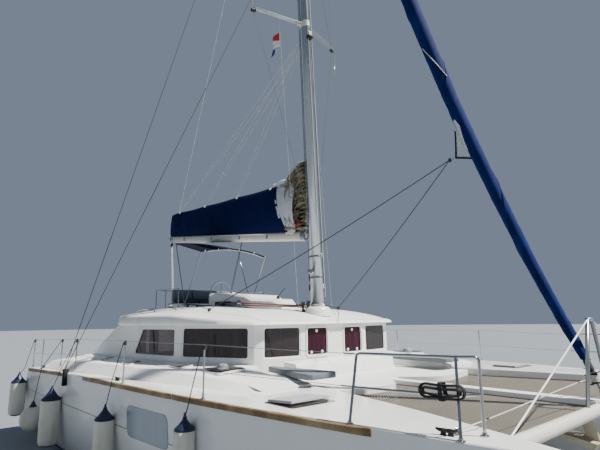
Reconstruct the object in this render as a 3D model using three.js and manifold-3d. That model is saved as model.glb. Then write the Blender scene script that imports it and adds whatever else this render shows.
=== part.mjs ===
// A cruising sailing catamaran, afloat, with its mainsail stowed and its headsail furled.
// Millimetres. +X to the bows, +Y to port, +Z up. The origin is amidships on the waterline.
import * as THREE from 'three';
import { mergeVertices } from 'three/addons/utils/BufferGeometryUtils.js';
import Module from 'manifold-3d';

const wasm = await Module();
wasm.setup();

// Driving dimensions
const GAP = 0.5;                  // between pieces that touch
const HULL_AXIS = 2970;           // each hull's own centre plane, from the boat's
const HALF_BEAM = 3850;
const INNER = 1950;               // the hulls' inner deck edge beside the cabin
const SHEER = { mid: 1729, rise: 60.5, fall: 87.5, run: 6300 };
const SOLE = 1250;                // saloon floor
const COCKPIT_SOLE = 1300;
const BRIDGE = { aft: -5750, notch: 2600, deck: 1700, fore: 1706, step: 1600 };
const TRUNK_TOP = 1950;           // raised side deck under the cabin walls
const WALL_TOP = 2640;
const WALL = 60;
const SILL = 2055;                // window sills and heads
const HEAD = 2600;
const BULKHEAD = { x: -2400, depth: 60, half: 2690 };
const ROOF_UNDER = WALL_TOP + GAP;
const BEAM = { x: 5860, z: 1574, r: 76, half: 2655 };
const MAST = { x: 671, z: 3000, top: 20500, rake: 0.042, rx: 160, ry: 105 };
const SPREADER_Z = [9850, 14600];
const HOUNDS = 19300;
const LOWERS = 13200;
const GOOSENECK = { x: 395, z: 4575 };
const BOOM_END = { x: -6165, z: 5347 };
const STAY = { x: 5900, z: 1750, rake: 0.3296 };
const RUDDER = { x: -5350, chordFore: 130, chordAft: 370, top: -330, tip: -1150, stock: 35 };
const DRIVE = { x: -4150, shaft: -800, r: 60, prop: 215 };
const KEEL = { fore: 1150, aft: -1550, tip: -1300, half: 105 };
const WHEEL = { x: -3130, z: 3430, r: 345 };
const CHAINPLATE = { x: -3080, z: 1700 };

// The outer deck edge runs straight aft of the cabin's front and fines in to the bow
const FINING = { from: -500, run: 7300, in: 860, power: 2.25 };
const sheerHalf = x =>
  HALF_BEAM - FINING.in * Math.min(Math.max((x - FINING.from) / FINING.run, 0), 1) ** FINING.power;

// Stations that the hulls and what lies on their decks share: x, inner deck edge,
// half-breadth at the waterline, depth of the hull below it
const HULL = [
  [-6900, 1990, 400, -40],
  [-6300, 1960, 560, 150],
  [-5750, INNER, 610, 260],
  [-5000, INNER, 660, 370],
  [-4500, INNER, 680, 430],
  [-3600, INNER, 705, 510],
  [-2800, INNER, 710, 560],
  [-2000, INNER, 710, 590],
  [-1200, INNER, 705, 610],
  [-400, INNER, 690, 620],
  [400, INNER, 665, 620],
  [1170, INNER, 630, 615],
  [1700, INNER, 600, 605],
  [2350, INNER, 555, 595],
  [2900, 1965, 500, 580],
  [3600, 2105, 430, 560],
  [4300, 2270, 350, 535],
  [4900, 2425, 272, 510],
  [5400, 2565, 200, 485],
  [5860, 2695, 138, 455],
  [6250, 2812, 86, 425],
  [6550, 2900, 46, 395],
  [6710, 2948, 22, 370],
];
const deckFormula = x => SHEER.mid + SHEER.rise * (x / SHEER.run) - SHEER.fall * (x / SHEER.run) ** 2;
const STERN_TOP = 420;

// The deck's height runs straight between stations, so that pieces on it can lie flat to it
function along(x, column) {
  const next = HULL.findIndex(s => s[0] > x);
  const k = next < 0 ? HULL.length - 1 : Math.max(next, 1);
  const [a, b] = [HULL[k - 1], HULL[k]];
  const t = (x - a[0]) / (b[0] - a[0]);
  return column(a) + t * (column(b) - column(a));
}
const deckZ = x => along(x, s => (s[0] === HULL[0][0] ? STERN_TOP : deckFormula(s[0])));
const innerY = x => along(x, s => s[1]);

// Helpers that make closed shapes
function closed(positions, indices) {
  const geometry = new THREE.BufferGeometry();
  geometry.setAttribute('position', new THREE.Float32BufferAttribute(positions, 3));
  geometry.setIndex(indices);
  let volume = 0;
  const p = i => new THREE.Vector3().fromArray(positions, 3 * i);
  for (let i = 0; i < indices.length; i += 3) {
    volume += p(indices[i]).dot(p(indices[i + 1]).cross(p(indices[i + 2])));
  }
  if (volume < 0) geometry.setIndex(indices.map((_, i) => indices[i - (i % 3) + (2 - (i % 3))]));
  return geometry;
}

function loft(rings, flat = [1, 2]) {
  const n = rings[0].length;
  const indices = [];
  for (let r = 0; r + 1 < rings.length; r++) {
    for (let i = 0; i < n; i++) {
      const j = (i + 1) % n;
      const [a, b, c, d] = [r * n + i, r * n + j, (r + 1) * n + j, (r + 1) * n + i];
      indices.push(a, b, c, a, c, d);
    }
  }
  const positions = rings.flat(2);
  for (const ring of [0, rings.length - 1]) {
    const outline = rings[ring].map(p => new THREE.Vector2(p[flat[0]], p[flat[1]]));
    let faces = THREE.ShapeUtils.triangulateShape(outline, []);
    if (faces.length !== n - 2) {
      // points in line with their neighbours: a fan about the middle keeps them all
      const middle = positions.length / 3 - ring * n;
      positions.push(...[0, 1, 2].map(k => rings[ring].reduce((sum, p) => sum + p[k] / n, 0)));
      faces = outline.map((_, i) => [i, (i + 1) % n, middle]);
    }
    const forward = faces.some(f => f.some((v, k) => v < n && f[(k + 1) % 3] === (v + 1) % n));
    const flip = forward === (ring === 0);
    for (const face of faces) indices.push(...(flip ? [...face].reverse() : face).map(i => ring * n + i));
  }
  return closed(positions, indices);
}

function box(x0, x1, y0, y1, z0, z1) {
  const geometry = new THREE.BoxGeometry(x1 - x0, y1 - y0, z1 - z0);
  return geometry.translate((x0 + x1) / 2, (y0 + y1) / 2, (z0 + z1) / 2);
}

function rod(a, b, r, sides = 8) {
  const [from, to] = [new THREE.Vector3(...a), new THREE.Vector3(...b)];
  const span = to.clone().sub(from);
  const geometry = new THREE.CylinderGeometry(r, r, span.length(), sides);
  const upright = new THREE.Vector3(0, 1, 0);
  const turn = new THREE.Quaternion().setFromUnitVectors(upright, span.clone().normalize());
  return geometry.applyQuaternion(turn).translate(...from.add(to).multiplyScalar(0.5).toArray());
}

// A prism of an x,z outline from y0 to y1, or of an x,y outline from z0 to z1
const sidePrism = (outline, y0, y1) =>
  loft([y0, y1].map(y => outline.map(([x, z]) => [x, y, z])), [0, 2]);
const planPrism = (outline, z0, z1) =>
  loft([z0, z1].map(z => outline.map(([x, y]) => [x, y, z])), [0, 1]);

function solid(geometry) {
  const bare = geometry.clone();
  bare.deleteAttribute('normal');
  bare.deleteAttribute('uv');
  const merged = mergeVertices(bare, 1e-3);
  return new wasm.Manifold(new wasm.Mesh({
    numProp: 3,
    vertProperties: new Float32Array(merged.attributes.position.array),
    triVerts: new Uint32Array(merged.index.array),
  }));
}

function shape(manifold) {
  const mesh = manifold.getMesh();
  const geometry = new THREE.BufferGeometry();
  geometry.setAttribute('position', new THREE.BufferAttribute(mesh.vertProperties, 3));
  geometry.setIndex(Array.from(mesh.triVerts));
  geometry.computeVertexNormals();
  return geometry;
}

const join = geometries => shape(geometries.map(solid).reduce((a, b) => a.add(b)));
const cut = (geometry, ...tools) => shape(tools.reduce((a, t) => a.subtract(solid(t)), solid(geometry)));
const mirrored = geometry => shape(solid(geometry).mirror([0, 1, 0]));
const mirrorLine = points => points.map(p => [p[0], -p[1], ...p.slice(2)]);

// Colours of the finishes: colour, roughness, metalness
const FINISH = {
  gelcoat: [0xf2f3f2, 0.3, 0],
  gelcoatGrey: [0xb9bec4, 0.5, 0],
  strake: [0x8a6138, 0.6, 0],
  spar: [0xa9adb0, 0.4, 0.8],
  steel: [0xc8ccd0, 0.2, 1],
  canvas: [0x0c1633, 0.9, 0],
  glass: [0x241b22, 0.1, 0],
  net: [0x8b8175, 0.9, 0],
  darkCushion: [0x2a3140, 0.8, 0],
  fender: [0xe7e4da, 0.5, 0],
  bronze: [0xa98a4e, 0.4, 0.9],
  black: [0x15161a, 0.5, 0],
  blackRope: [0x16171b, 0.9, 0],
  galvanised: [0xb3a98e, 0.6, 0.6],
  wood: [0x7a4e2c, 0.5, 0],
  antifoul: [0x27324a, 0.8, 0],
};
const boat = new THREE.Group();

function add(name, geometry, finish) {
  const [color, roughness, metalness] = FINISH[finish];
  const mesh = new THREE.Mesh(geometry, new THREE.MeshStandardMaterial({ color, roughness, metalness }));
  mesh.name = name;
  boat.add(mesh);
  return mesh;
}

function addPair(name, port, finish) {
  add(`${name}_port`, port, finish);
  add(`${name}_starboard`, mirrored(port), finish);
}

// Hulls: solid decked shells with a stern of steps and a stub keel moulded on
function hullRing([x, inner, half, depth]) {
  const z = deckZ(x);
  const outer = sheerHalf(x) - 60 * Math.max((-6300 - x) / 600, 0);
  const bottom = -depth;
  const mid = Math.max(HULL_AXIS + half, 0.25 * (HULL_AXIS + half) + 0.75 * outer);
  const step = Math.min(1000, 0.7 * z);
  return [
    [x, inner, z],
    [x, outer - 12, z],
    [x, outer, z - 15],
    [x, mid, 0.56 * z],
    [x, HULL_AXIS + half, 60],
    [x, HULL_AXIS + 0.86 * half, 0.5 * bottom],
    [x, HULL_AXIS + 0.4 * half, 0.93 * bottom],
    [x, HULL_AXIS, bottom],
    [x, HULL_AXIS - 0.4 * half, 0.93 * bottom],
    [x, HULL_AXIS - 0.86 * half, 0.5 * bottom],
    [x, HULL_AXIS - half, 60],
    [x, Math.max(HULL_AXIS - half - 40, inner), 0.6 * step],
    [x, inner, step],
  ];
}

// A foil's section at one height, from its leading edge to its trailing edge
const foil = (fore, aft, half, z) => [[fore, HULL_AXIS, z],
  [fore - 0.12 * (fore - aft), HULL_AXIS + 0.7 * half, z], [fore - 0.35 * (fore - aft), HULL_AXIS + half, z],
  [aft, HULL_AXIS + 4, z], [aft, HULL_AXIS - 4, z], [fore - 0.35 * (fore - aft), HULL_AXIS - half, z],
  [fore - 0.12 * (fore - aft), HULL_AXIS - 0.7 * half, z]];

const STEP_SIDES = [2540, 3600];
const STERN_STEPS = [[-5750, 1270], [-6050, 960], [-6330, 650], [-6600, 370]];

function hull() {
  const body = loft(HULL.map(hullRing));
  const steps = STERN_STEPS.map(([x, z]) => box(-7000, x, STEP_SIDES[0], STEP_SIDES[1], z, 2000));
  const bearing = rod([RUDDER.x, HULL_AXIS, -600], [RUDDER.x, HULL_AXIS, -60], RUDDER.stock + 1, 24);
  const keel = loft([foil(KEEL.fore, KEEL.aft, KEEL.half, -300),
    foil(KEEL.fore - 250, KEEL.aft + 100, KEEL.half * 0.8, KEEL.tip)], [0, 1]);
  return cut(join([body, keel]), ...steps, bearing);
}
// How far out the hull's side is at a height, between its deck edge, its middle and the waterline
function hullSide(x, z) {
  const [edge, middle, low] = hullRing([x, innerY(x), along(x, s => s[2]), along(x, s => s[3])]).slice(2, 5);
  const [above, below] = z > middle[2] ? [edge, middle] : [middle, low];
  const t = Math.min(Math.max((z - below[2]) / (above[2] - below[2]), 0), 1);
  return below[1] + t * (above[1] - below[1]);
}
const hullPort = hull();
addPair('hull', hullPort, 'gelcoat');

// Bridge deck: saloon and cockpit soles, foredeck, the nacelle under them, and the centre beam
const CENTRE = { half: 110, z0: 1570, z1: 1680 };
const LOBE = [[BRIDGE.notch - 100, CENTRE.half + GAP], [BRIDGE.notch, CENTRE.half + GAP], [3060, 560],
  [3130, 760], [3140, 950], [3080, 1400], [2960, INNER - GAP], [BRIDGE.notch - 100, INNER - GAP]];
const lobes = [LOBE, mirrorLine(LOBE)].map(outline => planPrism(outline, 1500, BRIDGE.fore));
const beamTube = rod([BEAM.x, -BEAM.half, BEAM.z], [BEAM.x, BEAM.half, BEAM.z], BEAM.r + GAP, 20);
const centreBeam = cut(
  box(BRIDGE.notch - 100, BEAM.x, -CENTRE.half, CENTRE.half, CENTRE.z0, CENTRE.z1), beamTube);
add('bridgedeck', join([sidePrism([
  [BRIDGE.aft, 900], [-5000, 780], [1500, 800], [2350, 950], [BRIDGE.notch, 1250],
  [BRIDGE.notch, BRIDGE.fore], [BRIDGE.step, BRIDGE.fore], [BRIDGE.step, BRIDGE.deck],
  [1130, BRIDGE.deck], [1130, SOLE], [BULKHEAD.x, SOLE],
  [BULKHEAD.x, COCKPIT_SOLE], [BRIDGE.aft, COCKPIT_SOLE],
], -INNER + GAP, INNER - GAP), ...lobes, centreBeam]), 'gelcoat');

// Raised side decks: x, foot of the outer face, top of that face, top at the cabin wall
const TRUNK_FACE = 200;
const TRUNK = [
  [-5750, 3640, 1760, 1800],
  [-5000, 3660, 1800, 1880],
  [-4500, 3670, 1840, TRUNK_TOP],
  [-3600, 3660, 1860, TRUNK_TOP],
  [-2800, 3615, 1875, TRUNK_TOP],
  [-2000, 3560, 1885, TRUNK_TOP],
  [-1200, 3505, 1890, TRUNK_TOP],
  [-400, 3450, 1890, TRUNK_TOP],
  [400, 3365, 1890, TRUNK_TOP],
  [1170, 3270, 1880, TRUNK_TOP],
  [1700, 3190, 1855, 1880],
  [2150, 3120, 1820, 1830],
  [2520, 3050, 1768, 1775],
];
const CABIN_FACE = [[-5750, 3000], [-4500, 2990], [-2300, 2850], [-580, 2680], [985, 2060], [2350, 2000]];

function between(table, x) {
  const k = Math.min(Math.max(table.findIndex(s => s[0] > x), 1), table.length - 1);
  const [a, b] = [table[k - 1], table[k]];
  return a[1] + (x - a[0]) / (b[0] - a[0]) * (b[1] - a[1]);
}

const SEAT = { aft: 1215, fore: 2700, inner: 1530, outer: 2150, under: 1850, top: 1938 };

function trunk() {
  const body = loft(TRUNK.map(([x, foot, edge, top]) => {
    const floor = deckZ(x) + GAP;
    const face = between(CABIN_FACE, x);
    return [
      [x, INNER + GAP, floor], [x, foot, floor], [x, foot - TRUNK_FACE, edge],
      [x, face, top], [x, INNER + GAP, top],
    ];
  }));
  const seatBay = box(SEAT.aft - GAP, 3000, 1500, SEAT.outer + GAP, SEAT.under - GAP, 2500);
  return cut(body, seatBay);
}
const trunkPort = trunk();
addPair('side_deck', trunkPort, 'gelcoat');

// Forward seats and the locker below the front windows
addPair('forward_seat', planPrism([
  [SEAT.aft, 1900], [SEAT.fore - 60, SEAT.inner], [SEAT.fore, SEAT.inner + 60],
  [SEAT.fore, SEAT.outer - 60], [SEAT.fore - 60, SEAT.outer], [SEAT.aft, SEAT.outer],
], SEAT.under, SEAT.top), 'gelcoatGrey');
add('front_locker', sidePrism([
  [1195, BRIDGE.deck + GAP], [1590, BRIDGE.deck + GAP], [1545, 1955], [1500, 1975], [1195, 1990],
], -1390, 1390), 'gelcoatGrey');

// Cabin walls: one shell round the front and sides, ending aft in raked wings
const WALL_PLAN = [[1190, 0], [1178, 860], [1045, 1780], [985, 1915], [-580, 2590], [-2300, 2765],
  [-4520, 2890]];
const SIDE_START = 3;

function offsetPlan(plan, inset) {
  return plan.map((p, i) => {
    const [a, b] = [plan[Math.max(i - 1, 0)], plan[Math.min(i + 1, plan.length - 1)]];
    const [dx, dy] = i === 0 ? [0, 1] : [b[0] - a[0], b[1] - a[1]];
    const length = Math.hypot(dx, dy);
    return [p[0] - inset * dy / length, p[1] + inset * dx / length];
  });
}

// A window frame's plan on the wall, from one end to the other, and its rake at the aft end
function wallPoint(x, side) {
  const plan = WALL_PLAN.slice(side ? SIDE_START : 0);
  const k = plan.findIndex((p, i) => i > 0 && p[0] <= x);
  const [a, b] = [plan[k - 1], plan[k]];
  const t = (x - a[0]) / (b[0] - a[0]);
  return [x, a[1] + t * (b[1] - a[1])];
}
const frontPoint = y => {
  const k = WALL_PLAN.findIndex(p => p[1] >= y);
  const [a, b] = [WALL_PLAN[k - 1], WALL_PLAN[k]];
  return [a[0] + (y - a[1]) / (b[1] - a[1]) * (b[0] - a[0]), y];
};

// name, first and last plan point, sill, head, rake of the last edge
const WINDOWS = [
  ['hatch_pane_front', frontPoint(242), frontPoint(795), SILL, HEAD - 10, 0],
  ['window_front', frontPoint(950), frontPoint(1745), SILL, HEAD, 0],
  ['window_side', wallPoint(880, true), wallPoint(-490, true), SILL, HEAD, 0],
  ['window_aft', wallPoint(-700, true), wallPoint(-2230, true), SILL, HEAD - 20, 300],
];

function windowPrism([, from, to, sill, head, rake], inset, outside, inside) {
  const [dx, dy] = [to[0] - from[0], to[1] - from[1]];
  const length = Math.hypot(dx, dy);
  const [ux, uy] = [dx / length, dy / length];
  const corners = [[inset, sill + inset], [length - inset, sill + inset],
    [length - rake - inset, head - inset], [inset, head - inset]];
  const ring = depth => corners.map(([s, z]) =>
    [from[0] + ux * s + uy * depth, from[1] + uy * s - ux * depth, z]);
  return loft([ring(outside), ring(-inside)], [Math.abs(ux) > Math.abs(uy) ? 0 : 1, 2]);
}

function cabinWalls() {
  const inner = offsetPlan(WALL_PLAN, WALL);
  inner[0] = [WALL_PLAN[0][0] - WALL, 0];
  const outline = [...[...WALL_PLAN].reverse(), ...mirrorLine(WALL_PLAN.slice(1)),
    ...mirrorLine([...inner.slice(1)].reverse()), ...inner];
  const shell = planPrism(outline, BRIDGE.deck + GAP, WALL_TOP);
  const wing = sidePrism([[-4700, 1600], [-4480, 1600], [-4480, TRUNK_TOP + GAP], [-2990, 2700],
    [-4700, 2700]], -3200, 3200);
  const tools = [wing];
  for (const side of [1, -1]) {
    const low = Math.min(side * (INNER - 1), side * 3400);
    const high = Math.max(side * (INNER - 1), side * 3400);
    tools.push(box(-4700, 1300, low, high, 1600, TRUNK_TOP + GAP));
  }
  for (const window of WINDOWS) {
    const tool = windowPrism(window, 0, 200, 200);
    tools.push(tool, mirrored(tool));
  }
  return cut(shell, ...tools);
}
add('cabin_walls', cabinWalls(), 'gelcoat');
for (const window of WINDOWS) {
  addPair(window[0], windowPrism(window, GAP, -18, 30), 'glass');
}

// Aft bulkhead with its doorway, and the sliding door
const DOORWAY = { half: 1300, sill: 1330, head: 2540 };
const bulkheadPanel = [
  box(BULKHEAD.x, BULKHEAD.x + BULKHEAD.depth, -BULKHEAD.half, BULKHEAD.half, TRUNK_TOP + GAP, WALL_TOP),
  box(BULKHEAD.x, BULKHEAD.x + BULKHEAD.depth, -INNER + GAP, INNER - GAP, SOLE + GAP, TRUNK_TOP + 50),
];
const sideLights = [1480, -2480].map(y => box(-2500, -2200, y, y + 1000, SILL, DOORWAY.head));
const doorway = box(-2500, -2200, -DOORWAY.half, DOORWAY.half, DOORWAY.sill, DOORWAY.head);
const doorTrack = box(BULKHEAD.x - 70, BULKHEAD.x + 10, -DOORWAY.half - 60, DOORWAY.half + 60,
  COCKPIT_SOLE + GAP, DOORWAY.sill - 10);
add('cabin_bulkhead', cut(join([...bulkheadPanel, doorTrack]), doorway, ...sideLights), 'gelcoat');
add('door_fixed_pane', box(BULKHEAD.x + 20, BULKHEAD.x + 40, GAP, DOORWAY.half - GAP,
  DOORWAY.sill + GAP, DOORWAY.head - GAP), 'glass');
add('saloon_door', box(BULKHEAD.x - 52, BULKHEAD.x - 12, -DOORWAY.half - 20, 20,
  DOORWAY.sill - 10 + GAP, DOORWAY.head + 20), 'glass');
add('saloon_table', join([
  box(-700, 500, -500, 300, 1950, 1985),
  rod([-100, -100, SOLE + GAP], [-100, -100, 1960], 60, 12),
]), 'wood');

// Roof: rings that step in and up from the eave to a low dome, then the flybridge on it
const EAVE = [[1275, 0], [1265, 600], [1225, 1250], [1150, 1905], [900, 2110], [300, 2390], [-580, 2690],
  [-1500, 2810], [-2300, 2860], [-2950, 2850], [-3300, 2690], [-3700, 2330], [-4200, 1720], [-4540, 900],
  [-4620, 0]];
const ROOF_MIDDLE = -1700;
const fascia = x => 60 + 150 * Math.min(Math.max((1200 - x) / 1900, 0), 1);
// how far out from the middle, height: share of the fascia, and height above it
const ROOF_RINGS = [[0.985, 0, 0], [1, 0.3, 0], [0.985, 1, 0], [0.95, 1, 25], [0.88, 0.8, 110],
  [0.76, 0.6, 210], [0.6, 0.5, 290], [0.3, 0.5, 320]];

function roof() {
  const outline = [...EAVE, ...mirrorLine(EAVE.slice(1, -1)).reverse()];
  const rings = ROOF_RINGS.map(([k, share, rise]) => outline.map(([x, y]) =>
    [ROOF_MIDDLE + (x - ROOF_MIDDLE) * k, y * k, ROOF_UNDER + share * fascia(x) + rise]));
  const step = rod([MAST.x, 0, 2800], [MAST.x, 0, MAST.z - GAP], 230, 20);
  return shape(solid(loft(rings, [0, 1])).add(solid(step)));
}
const roofShape = roof();
add('roof', roofShape, 'gelcoat');

// Helm pod and seat on the roof, the rail round them, and the wheel
const seated = (geometry, under) => shape(solid(geometry).subtract(solid(under)).translate([0, 0, GAP]));
const podRing = (x, half, top) => [[x, half, 2900], [x, half, top - 60], [x, half - 60, top],
  [x, -half + 60, top], [x, -half, top - 60], [x, -half, 2900]];
const POD = [[-250, 230, 3100], [-480, 340, 3205], [-1060, 500, 3240], [-1260, 560, 3330], [-2450, 650, 3420],
  [-2900, 520, 3440]];
add('helm_pod', seated(join([
  loft(POD.map(row => podRing(...row))),
  rod([WHEEL.x + 25.5, 0, WHEEL.z - 60], [-2880, 0, WHEEL.z - 60], 80, 12),
]), roofShape), 'gelcoat');
add('helm_seat', seated(join([
  box(-4300, -3750, -900, 900, 2900, 3330),
  box(-4300, -4180, -900, 900, 3300, 3600),
]), roofShape), 'darkCushion');
const RAIL = { fore: -3000, aft: -4380, half: 1350, top: 3560 };
const railPosts = [[RAIL.fore, RAIL.half], [-3700, RAIL.half], [RAIL.aft, RAIL.half], [RAIL.aft, 450]];
const flyRail = [rod([RAIL.aft, -RAIL.half, RAIL.top], [RAIL.aft, RAIL.half, RAIL.top], 16)];
for (const side of [1, -1]) {
  flyRail.push(rod([RAIL.fore, side * RAIL.half, RAIL.top], [RAIL.aft - 10, side * RAIL.half, RAIL.top], 16));
  for (const [x, y] of railPosts) flyRail.push(rod([x, side * y, 2900], [x, side * y, RAIL.top], 14));
}
add('flybridge_rail', seated(join(flyRail), roofShape), 'steel');

function wheel() {
  const rim = new THREE.TorusGeometry(WHEEL.r, 13, 8, 40).rotateY(Math.PI / 2).translate(WHEEL.x, 0, WHEEL.z);
  const spokes = [0, 1, 2, 3, 4].map(i => {
    const angle = Math.PI / 2 + 2 * Math.PI * i / 5;
    return rod([WHEEL.x, 0, WHEEL.z],
      [WHEEL.x, WHEEL.r * Math.cos(angle), WHEEL.z + WHEEL.r * Math.sin(angle)], 7);
  });
  const hub = rod([WHEEL.x - 25, 0, WHEEL.z], [WHEEL.x + 25, 0, WHEEL.z], 45, 16);
  return join([rim, ...spokes, hub]);
}
add('steering_wheel', wheel(), 'steel');

// Bimini on its frame, raked up towards the stern
const BIMINI = { fore: -2450, aft: -3900, half: 1050, zFore: 4460, zAft: 4850,
  crownFore: 150, crownAft: 60, thick: 25 };
const biminiCrown = x => BIMINI.crownFore
  + (x - BIMINI.fore) / (BIMINI.aft - BIMINI.fore) * (BIMINI.crownAft - BIMINI.crownFore);
function bimini() {
  const arch = x => {
    const t = (x - BIMINI.fore) / (BIMINI.aft - BIMINI.fore);
    const edge = BIMINI.zFore + t * (BIMINI.zAft - BIMINI.zFore);
    const across = [-1, -0.75, -0.4, 0, 0.4, 0.75, 1];
    const top = across.map(s => [x, s * BIMINI.half, edge + biminiCrown(x) * (1 - s * s)]);
    return [...top, ...[...top].reverse().map(([px, y, z]) => [px, y, z - BIMINI.thick])];
  };
  return loft([0, 0.25, 0.5, 0.75, 1].map(t => arch(BIMINI.fore + t * (BIMINI.aft - BIMINI.fore))));
}
const canopy = bimini();
add('bimini', canopy, 'canvas');
function bow(x, foot) {
  const edge = BIMINI.zFore + (x - BIMINI.fore) / (BIMINI.aft - BIMINI.fore) * (BIMINI.zAft - BIMINI.zFore);
  const bowZ = y => biminiCrown(x) * (1 - (y / BIMINI.half) ** 2) - BIMINI.thick - 15;
  const ys = [-1030, -700, -350, 0, 350, 700, 1030];
  const tubes = ys.slice(1).map((y, i) => rod([x, ys[i], edge + bowZ(ys[i])], [x, y, edge + bowZ(y)], 11));
  for (const side of [1, -1]) {
    tubes.push(rod([x, side * 1030, edge + bowZ(1030)], [foot, side * 1060, 3150], 11));
    tubes.push(rod([foot, side * 1060, 3160], [foot, side * 1060, 2900], 20));
  }
  return tubes;
}
const bows = join([...bow(-2500, -3200), ...bow(-3850, -3200)]);
add('bimini_frame', seated(cut(bows, canopy.clone().translate(0, 0, -3 * GAP)), roofShape), 'steel');

// Crossbeam between the bows, its striker and the nets
const endPad = side => box(BEAM.x - 110, BEAM.x + 110,
  side * (BEAM.half - 30) - 30, side * (BEAM.half - 30) + 30, BEAM.z - 110, BEAM.z + 100);
add('crossbeam', join([
  rod([BEAM.x, -BEAM.half, BEAM.z], [BEAM.x, BEAM.half, BEAM.z], BEAM.r, 20),
  endPad(1), endPad(-1),
]), 'spar');
const STRIKER = { foot: 470, top: 2700, end: 2635 };
const strikerParts = [rod([BEAM.x, -90, STRIKER.top], [BEAM.x, 90, STRIKER.top], 28)];
for (const side of [1, -1]) {
  strikerParts.push(
    rod([BEAM.x, side * STRIKER.foot, BEAM.z], [BEAM.x, side * 80, STRIKER.top], 26),
    rod([BEAM.x, side * 80, STRIKER.top], [BEAM.x, side * STRIKER.end, BEAM.z + 40], 9),
  );
}
const beamEnds = [1, -1].map(side => box(BEAM.x - 111, BEAM.x + 111, side * (BEAM.half - 30) - 31,
  side * (BEAM.half - 30) + 31, BEAM.z - 111, BEAM.z + 101));
add('gull_striker', cut(join(strikerParts), beamTube, ...beamEnds), 'spar');
const NET = { z: 1598, thick: 14, fore: BEAM.x - BEAM.r - 14, aft: 2962 };
const netOutline = [[BRIDGE.notch, CENTRE.half + GAP], [NET.fore, CENTRE.half + GAP],
  ...[5400, 4900, 4300, 3600, NET.aft].map(x => [x, innerY(x) - 3])];
netOutline.splice(2, 0, [NET.fore, innerY(NET.fore) - 100]);
const lobeEdge = planPrism(
  [...LOBE.slice(1, -1).map(([x, y]) => [x + GAP, y]), [2000, 2200], [2000, 0]], 1500, 1800);
addPair('net', cut(planPrism(netOutline, NET.z, NET.z + NET.thick), lobeEdge), 'net');

// Anchor stowed on a roller under the centre beam's end
add('anchor', join([
  sidePrism([[5600, 1480], [5745, 1480], [5835, 1110], [5690, 1075]], -22, 22),
  box(5500, 5745, -60, 60, 1450, CENTRE.z0 - GAP),
  sidePrism([[5180, 1235], [5790, 1090], [5830, 1170], [5240, 1270]], -170, 170),
]), 'galvanised');

// Mast with its spreaders; the boom, which swings; and the sail stowed on it
const mastX = z => MAST.x - MAST.rake * (z - 3020);
const oval = (x, z, rx, ry, sides = 20) => Array.from({ length: sides }, (_, i) => {
  const a = 2 * Math.PI * i / sides;
  return [x + rx * Math.cos(a), ry * Math.sin(a), z];
});
const mastParts = [loft([oval(mastX(MAST.z), MAST.z, MAST.rx, MAST.ry), oval(mastX(MAST.top), MAST.top,
  MAST.rx * 0.8, MAST.ry * 0.85)], [0, 1])];
const SPREAD = { out: 1320, sweep: 340 };
for (const z of SPREADER_Z) {
  for (const side of [1, -1]) {
    mastParts.push(rod([mastX(z), 0, z], [mastX(z) - SPREAD.sweep, side * SPREAD.out, z + 40], 32, 10));
  }
}
const TANG = 118;
for (const z of [HOUNDS, LOWERS]) mastParts.push(box(mastX(z) - 60, mastX(z), -TANG, TANG, z - 45, z + 20));
const fork = GOOSENECK.x;
mastParts.push(box(fork - 30, mastX(GOOSENECK.z) - 100, -40, 40, GOOSENECK.z + 62, GOOSENECK.z + 85));
mastParts.push(box(fork - 30, mastX(GOOSENECK.z) - 100, -40, 40, GOOSENECK.z - 85, GOOSENECK.z - 62));
add('mast', join(mastParts), 'spar');

const boomSlope = (BOOM_END.z - GOOSENECK.z) / (BOOM_END.x - GOOSENECK.x);
const boomZ = x => GOOSENECK.z + boomSlope * (x - GOOSENECK.x);
const boomOval = x => Array.from({ length: 16 }, (_, i) => {
  const a = 2 * Math.PI * i / 16;
  return [x, 75 * Math.cos(a), boomZ(x) + 110 * Math.sin(a)];
});
add('boom', join([
  loft([boomOval(fork - 60), boomOval(BOOM_END.x)]),
  rod([fork, 0, GOOSENECK.z - 59], [fork, 0, GOOSENECK.z + 59], 26, 16),
  box(fork - 100, fork, -20, 20, GOOSENECK.z - 45, GOOSENECK.z + 45),
]), 'spar');

// Sail bag sections: x, height of its top above the boom's middle, half-width
const BAG_FOOT = 110 + GAP;
const BAG = [[-6150, 860, 60], [-5900, 890, 95], [-4000, 1010, 135], [-2000, 1180, 165], [-500, 1290, 185],
  [-330, 1480, 200], [150, 1600, 170], [235, 1560, 120]];
add('sail_bag', loft(BAG.map(([x, high, half]) => {
  const z = boomZ(x);
  const middle = 0.4 * high;
  return [[x, 30, z + BAG_FOOT], [x, half, z + middle], [x, 0.75 * half, z + 0.8 * high], [x, 20, z + high],
    [x, -20, z + high], [x, -0.75 * half, z + 0.8 * high], [x, -half, z + middle], [x, -30, z + BAG_FOOT]];
})), 'canvas');

// Headsail rolled on its stay, from the tack to the head, and the furling drum below it
const stayX = z => STAY.x - STAY.rake * (z - STAY.z);
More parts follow.
